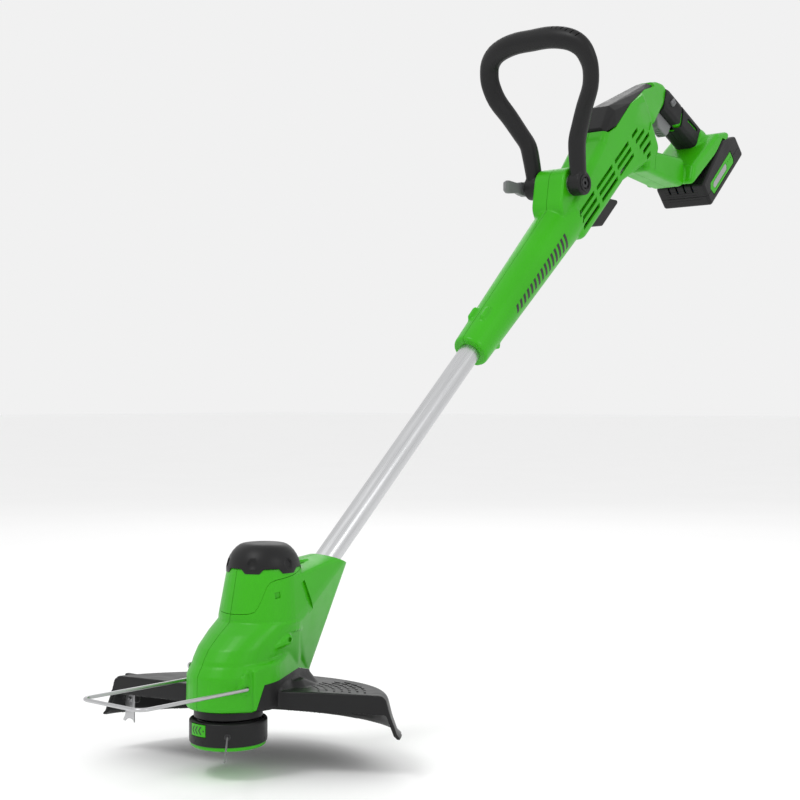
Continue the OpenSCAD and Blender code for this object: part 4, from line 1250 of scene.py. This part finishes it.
# ---------- carried-over parts, stage and run ----------

class TRIMMER_OT_plain_parts(bpy.types.Operator):
    """Gives every remaining part of the frame its finish"""
    bl_idname = "trimmer.plain_parts"
    bl_label = "Plain parts"

    def execute(self, context):
        slots = {row["node"]: row["material_slot"] for row in frame["record"]["subparts"]}
        slots.update(pivot_bolt="dark_steel", line_eyelet="dark_steel")
        for name, obj in frame["nodes"].items():
            for slot in obj.material_slots:
                slot.material = FINISH[slots[name]]
        return {"FINISHED"}


CAMERA_AT = (-1.0177, -1.0922, 0.3347)
CAMERA_LOOKS = (0.7593, 0.6508, 0)
LENS, SENSOR = 68.6, 36
FLOOR_DROP, FLOOR_SIZE = 0.03, 30
STUDIO_STRENGTH = 0.88
# Name, place, power and width of each soft light
LAMPS = [("key", (-1.5, 0.1, 2.5), 22, 0.8), ("side", (0.1, -2.4, 1.6), 9, 1.0),
         ("back", (2.2, 1.6, 2.0), 8, 1.4)]


def aim(name, data, place, direction):
    """Adds a lamp or a camera that looks along a direction."""
    obj = add_object(name, data)
    obj.location = place
    obj.rotation_mode = "QUATERNION"
    obj.rotation_quaternion = direction.to_track_quat("-Z", "Y")
    return obj


class TRIMMER_OT_stage(bpy.types.Operator):
    """Sets the pale floor, the soft lights and the camera"""
    bl_idname = "trimmer.stage"
    bl_label = "Stage"

    def execute(self, context):
        scene = context.scene
        low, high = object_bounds()
        middle = (low + high) / 2
        bm = bmesh.new()
        bmesh.ops.create_grid(bm, x_segments=2, y_segments=2, size=FLOOR_SIZE)
        mesh = bpy.data.meshes.new("floor")
        bm.to_mesh(mesh)
        bm.free()
        mesh.transform(Matrix.Translation((0, 0, low.z - FLOOR_DROP)))
        floor = add_object("floor", mesh)
        pale, bsdf = shader("pale_floor", (0.97, 0.97, 0.97), 0.9)
        tree = pale.node_tree
        tree.links.new(tint(tree, object_noise(tree, 3), (0.965,) * 3, (0.975,) * 3),
                       bsdf.inputs["Base Color"])
        bsdf.inputs["Specular IOR Level"].default_value = 0.1
        floor.data.materials.append(pale)
        floor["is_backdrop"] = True
        world = bpy.data.worlds.new("studio")
        world.use_nodes = True
        background = world.node_tree.nodes["Background"].inputs
        background["Color"].default_value = (1, 1, 1, 1)
        background["Strength"].default_value = STUDIO_STRENGTH
        scene.world = world
        scene.view_settings.view_transform = "Standard"
        for name, place, power, width in LAMPS:
            light = bpy.data.lights.new(name, "AREA")
            light.energy = power
            light.size = width
            aim(name, light, place, middle - Vector(place))
        camera = bpy.data.cameras.new("camera")
        camera.lens = LENS
        camera.sensor_width = SENSOR
        scene.camera = aim("camera", camera, CAMERA_AT, Vector(CAMERA_LOOKS))
        return {"FINISHED"}


OPERATORS = [
    TRIMMER_OT_stage, TRIMMER_OT_head_case, TRIMMER_OT_motor_cap, TRIMMER_OT_line_head,
    TRIMMER_OT_guard, TRIMMER_OT_edge_parts, TRIMMER_OT_housing, TRIMMER_OT_covers,
    TRIMMER_OT_loop, TRIMMER_OT_rear_grip, TRIMMER_OT_battery, TRIMMER_OT_plain_parts,
]


class TRIMMER_PT_panel(bpy.types.Panel):
    """Lists the trimmer's pieces in the sidebar"""
    bl_idname = "TRIMMER_PT_panel"
    bl_label = "String trimmer"
    bl_space_type = "VIEW_3D"
    bl_region_type = "UI"
    bl_category = "Trimmer"

    def draw(self, context):
        layout = self.layout
        for group in (context.scene.trimmer_sizes, context.scene.trimmer_colours):
            for name in group.__annotations__:
                layout.prop(group, name)
        for operator in OPERATORS:
            layout.operator(operator.bl_idname)


CLASSES = [TrimmerSizes, TrimmerColours, *OPERATORS, TRIMMER_PT_panel]


def register():
    for cls in CLASSES:
        bpy.utils.register_class(cls)
    bpy.types.Scene.trimmer_sizes = PointerProperty(type=TrimmerSizes)
    bpy.types.Scene.trimmer_colours = PointerProperty(type=TrimmerColours)


def unregister():
    del bpy.types.Scene.trimmer_colours
    del bpy.types.Scene.trimmer_sizes
    for cls in reversed(CLASSES):
        bpy.utils.unregister_class(cls)


def main():
    register()
    make_finishes()
    for operator in OPERATORS:
        module, name = operator.bl_idname.split(".")
        if getattr(getattr(bpy.ops, module), name)() != {"FINISHED"}:
            raise RuntimeError(f"{operator.bl_label} was not built")


if __name__ == "__main__":
    main()
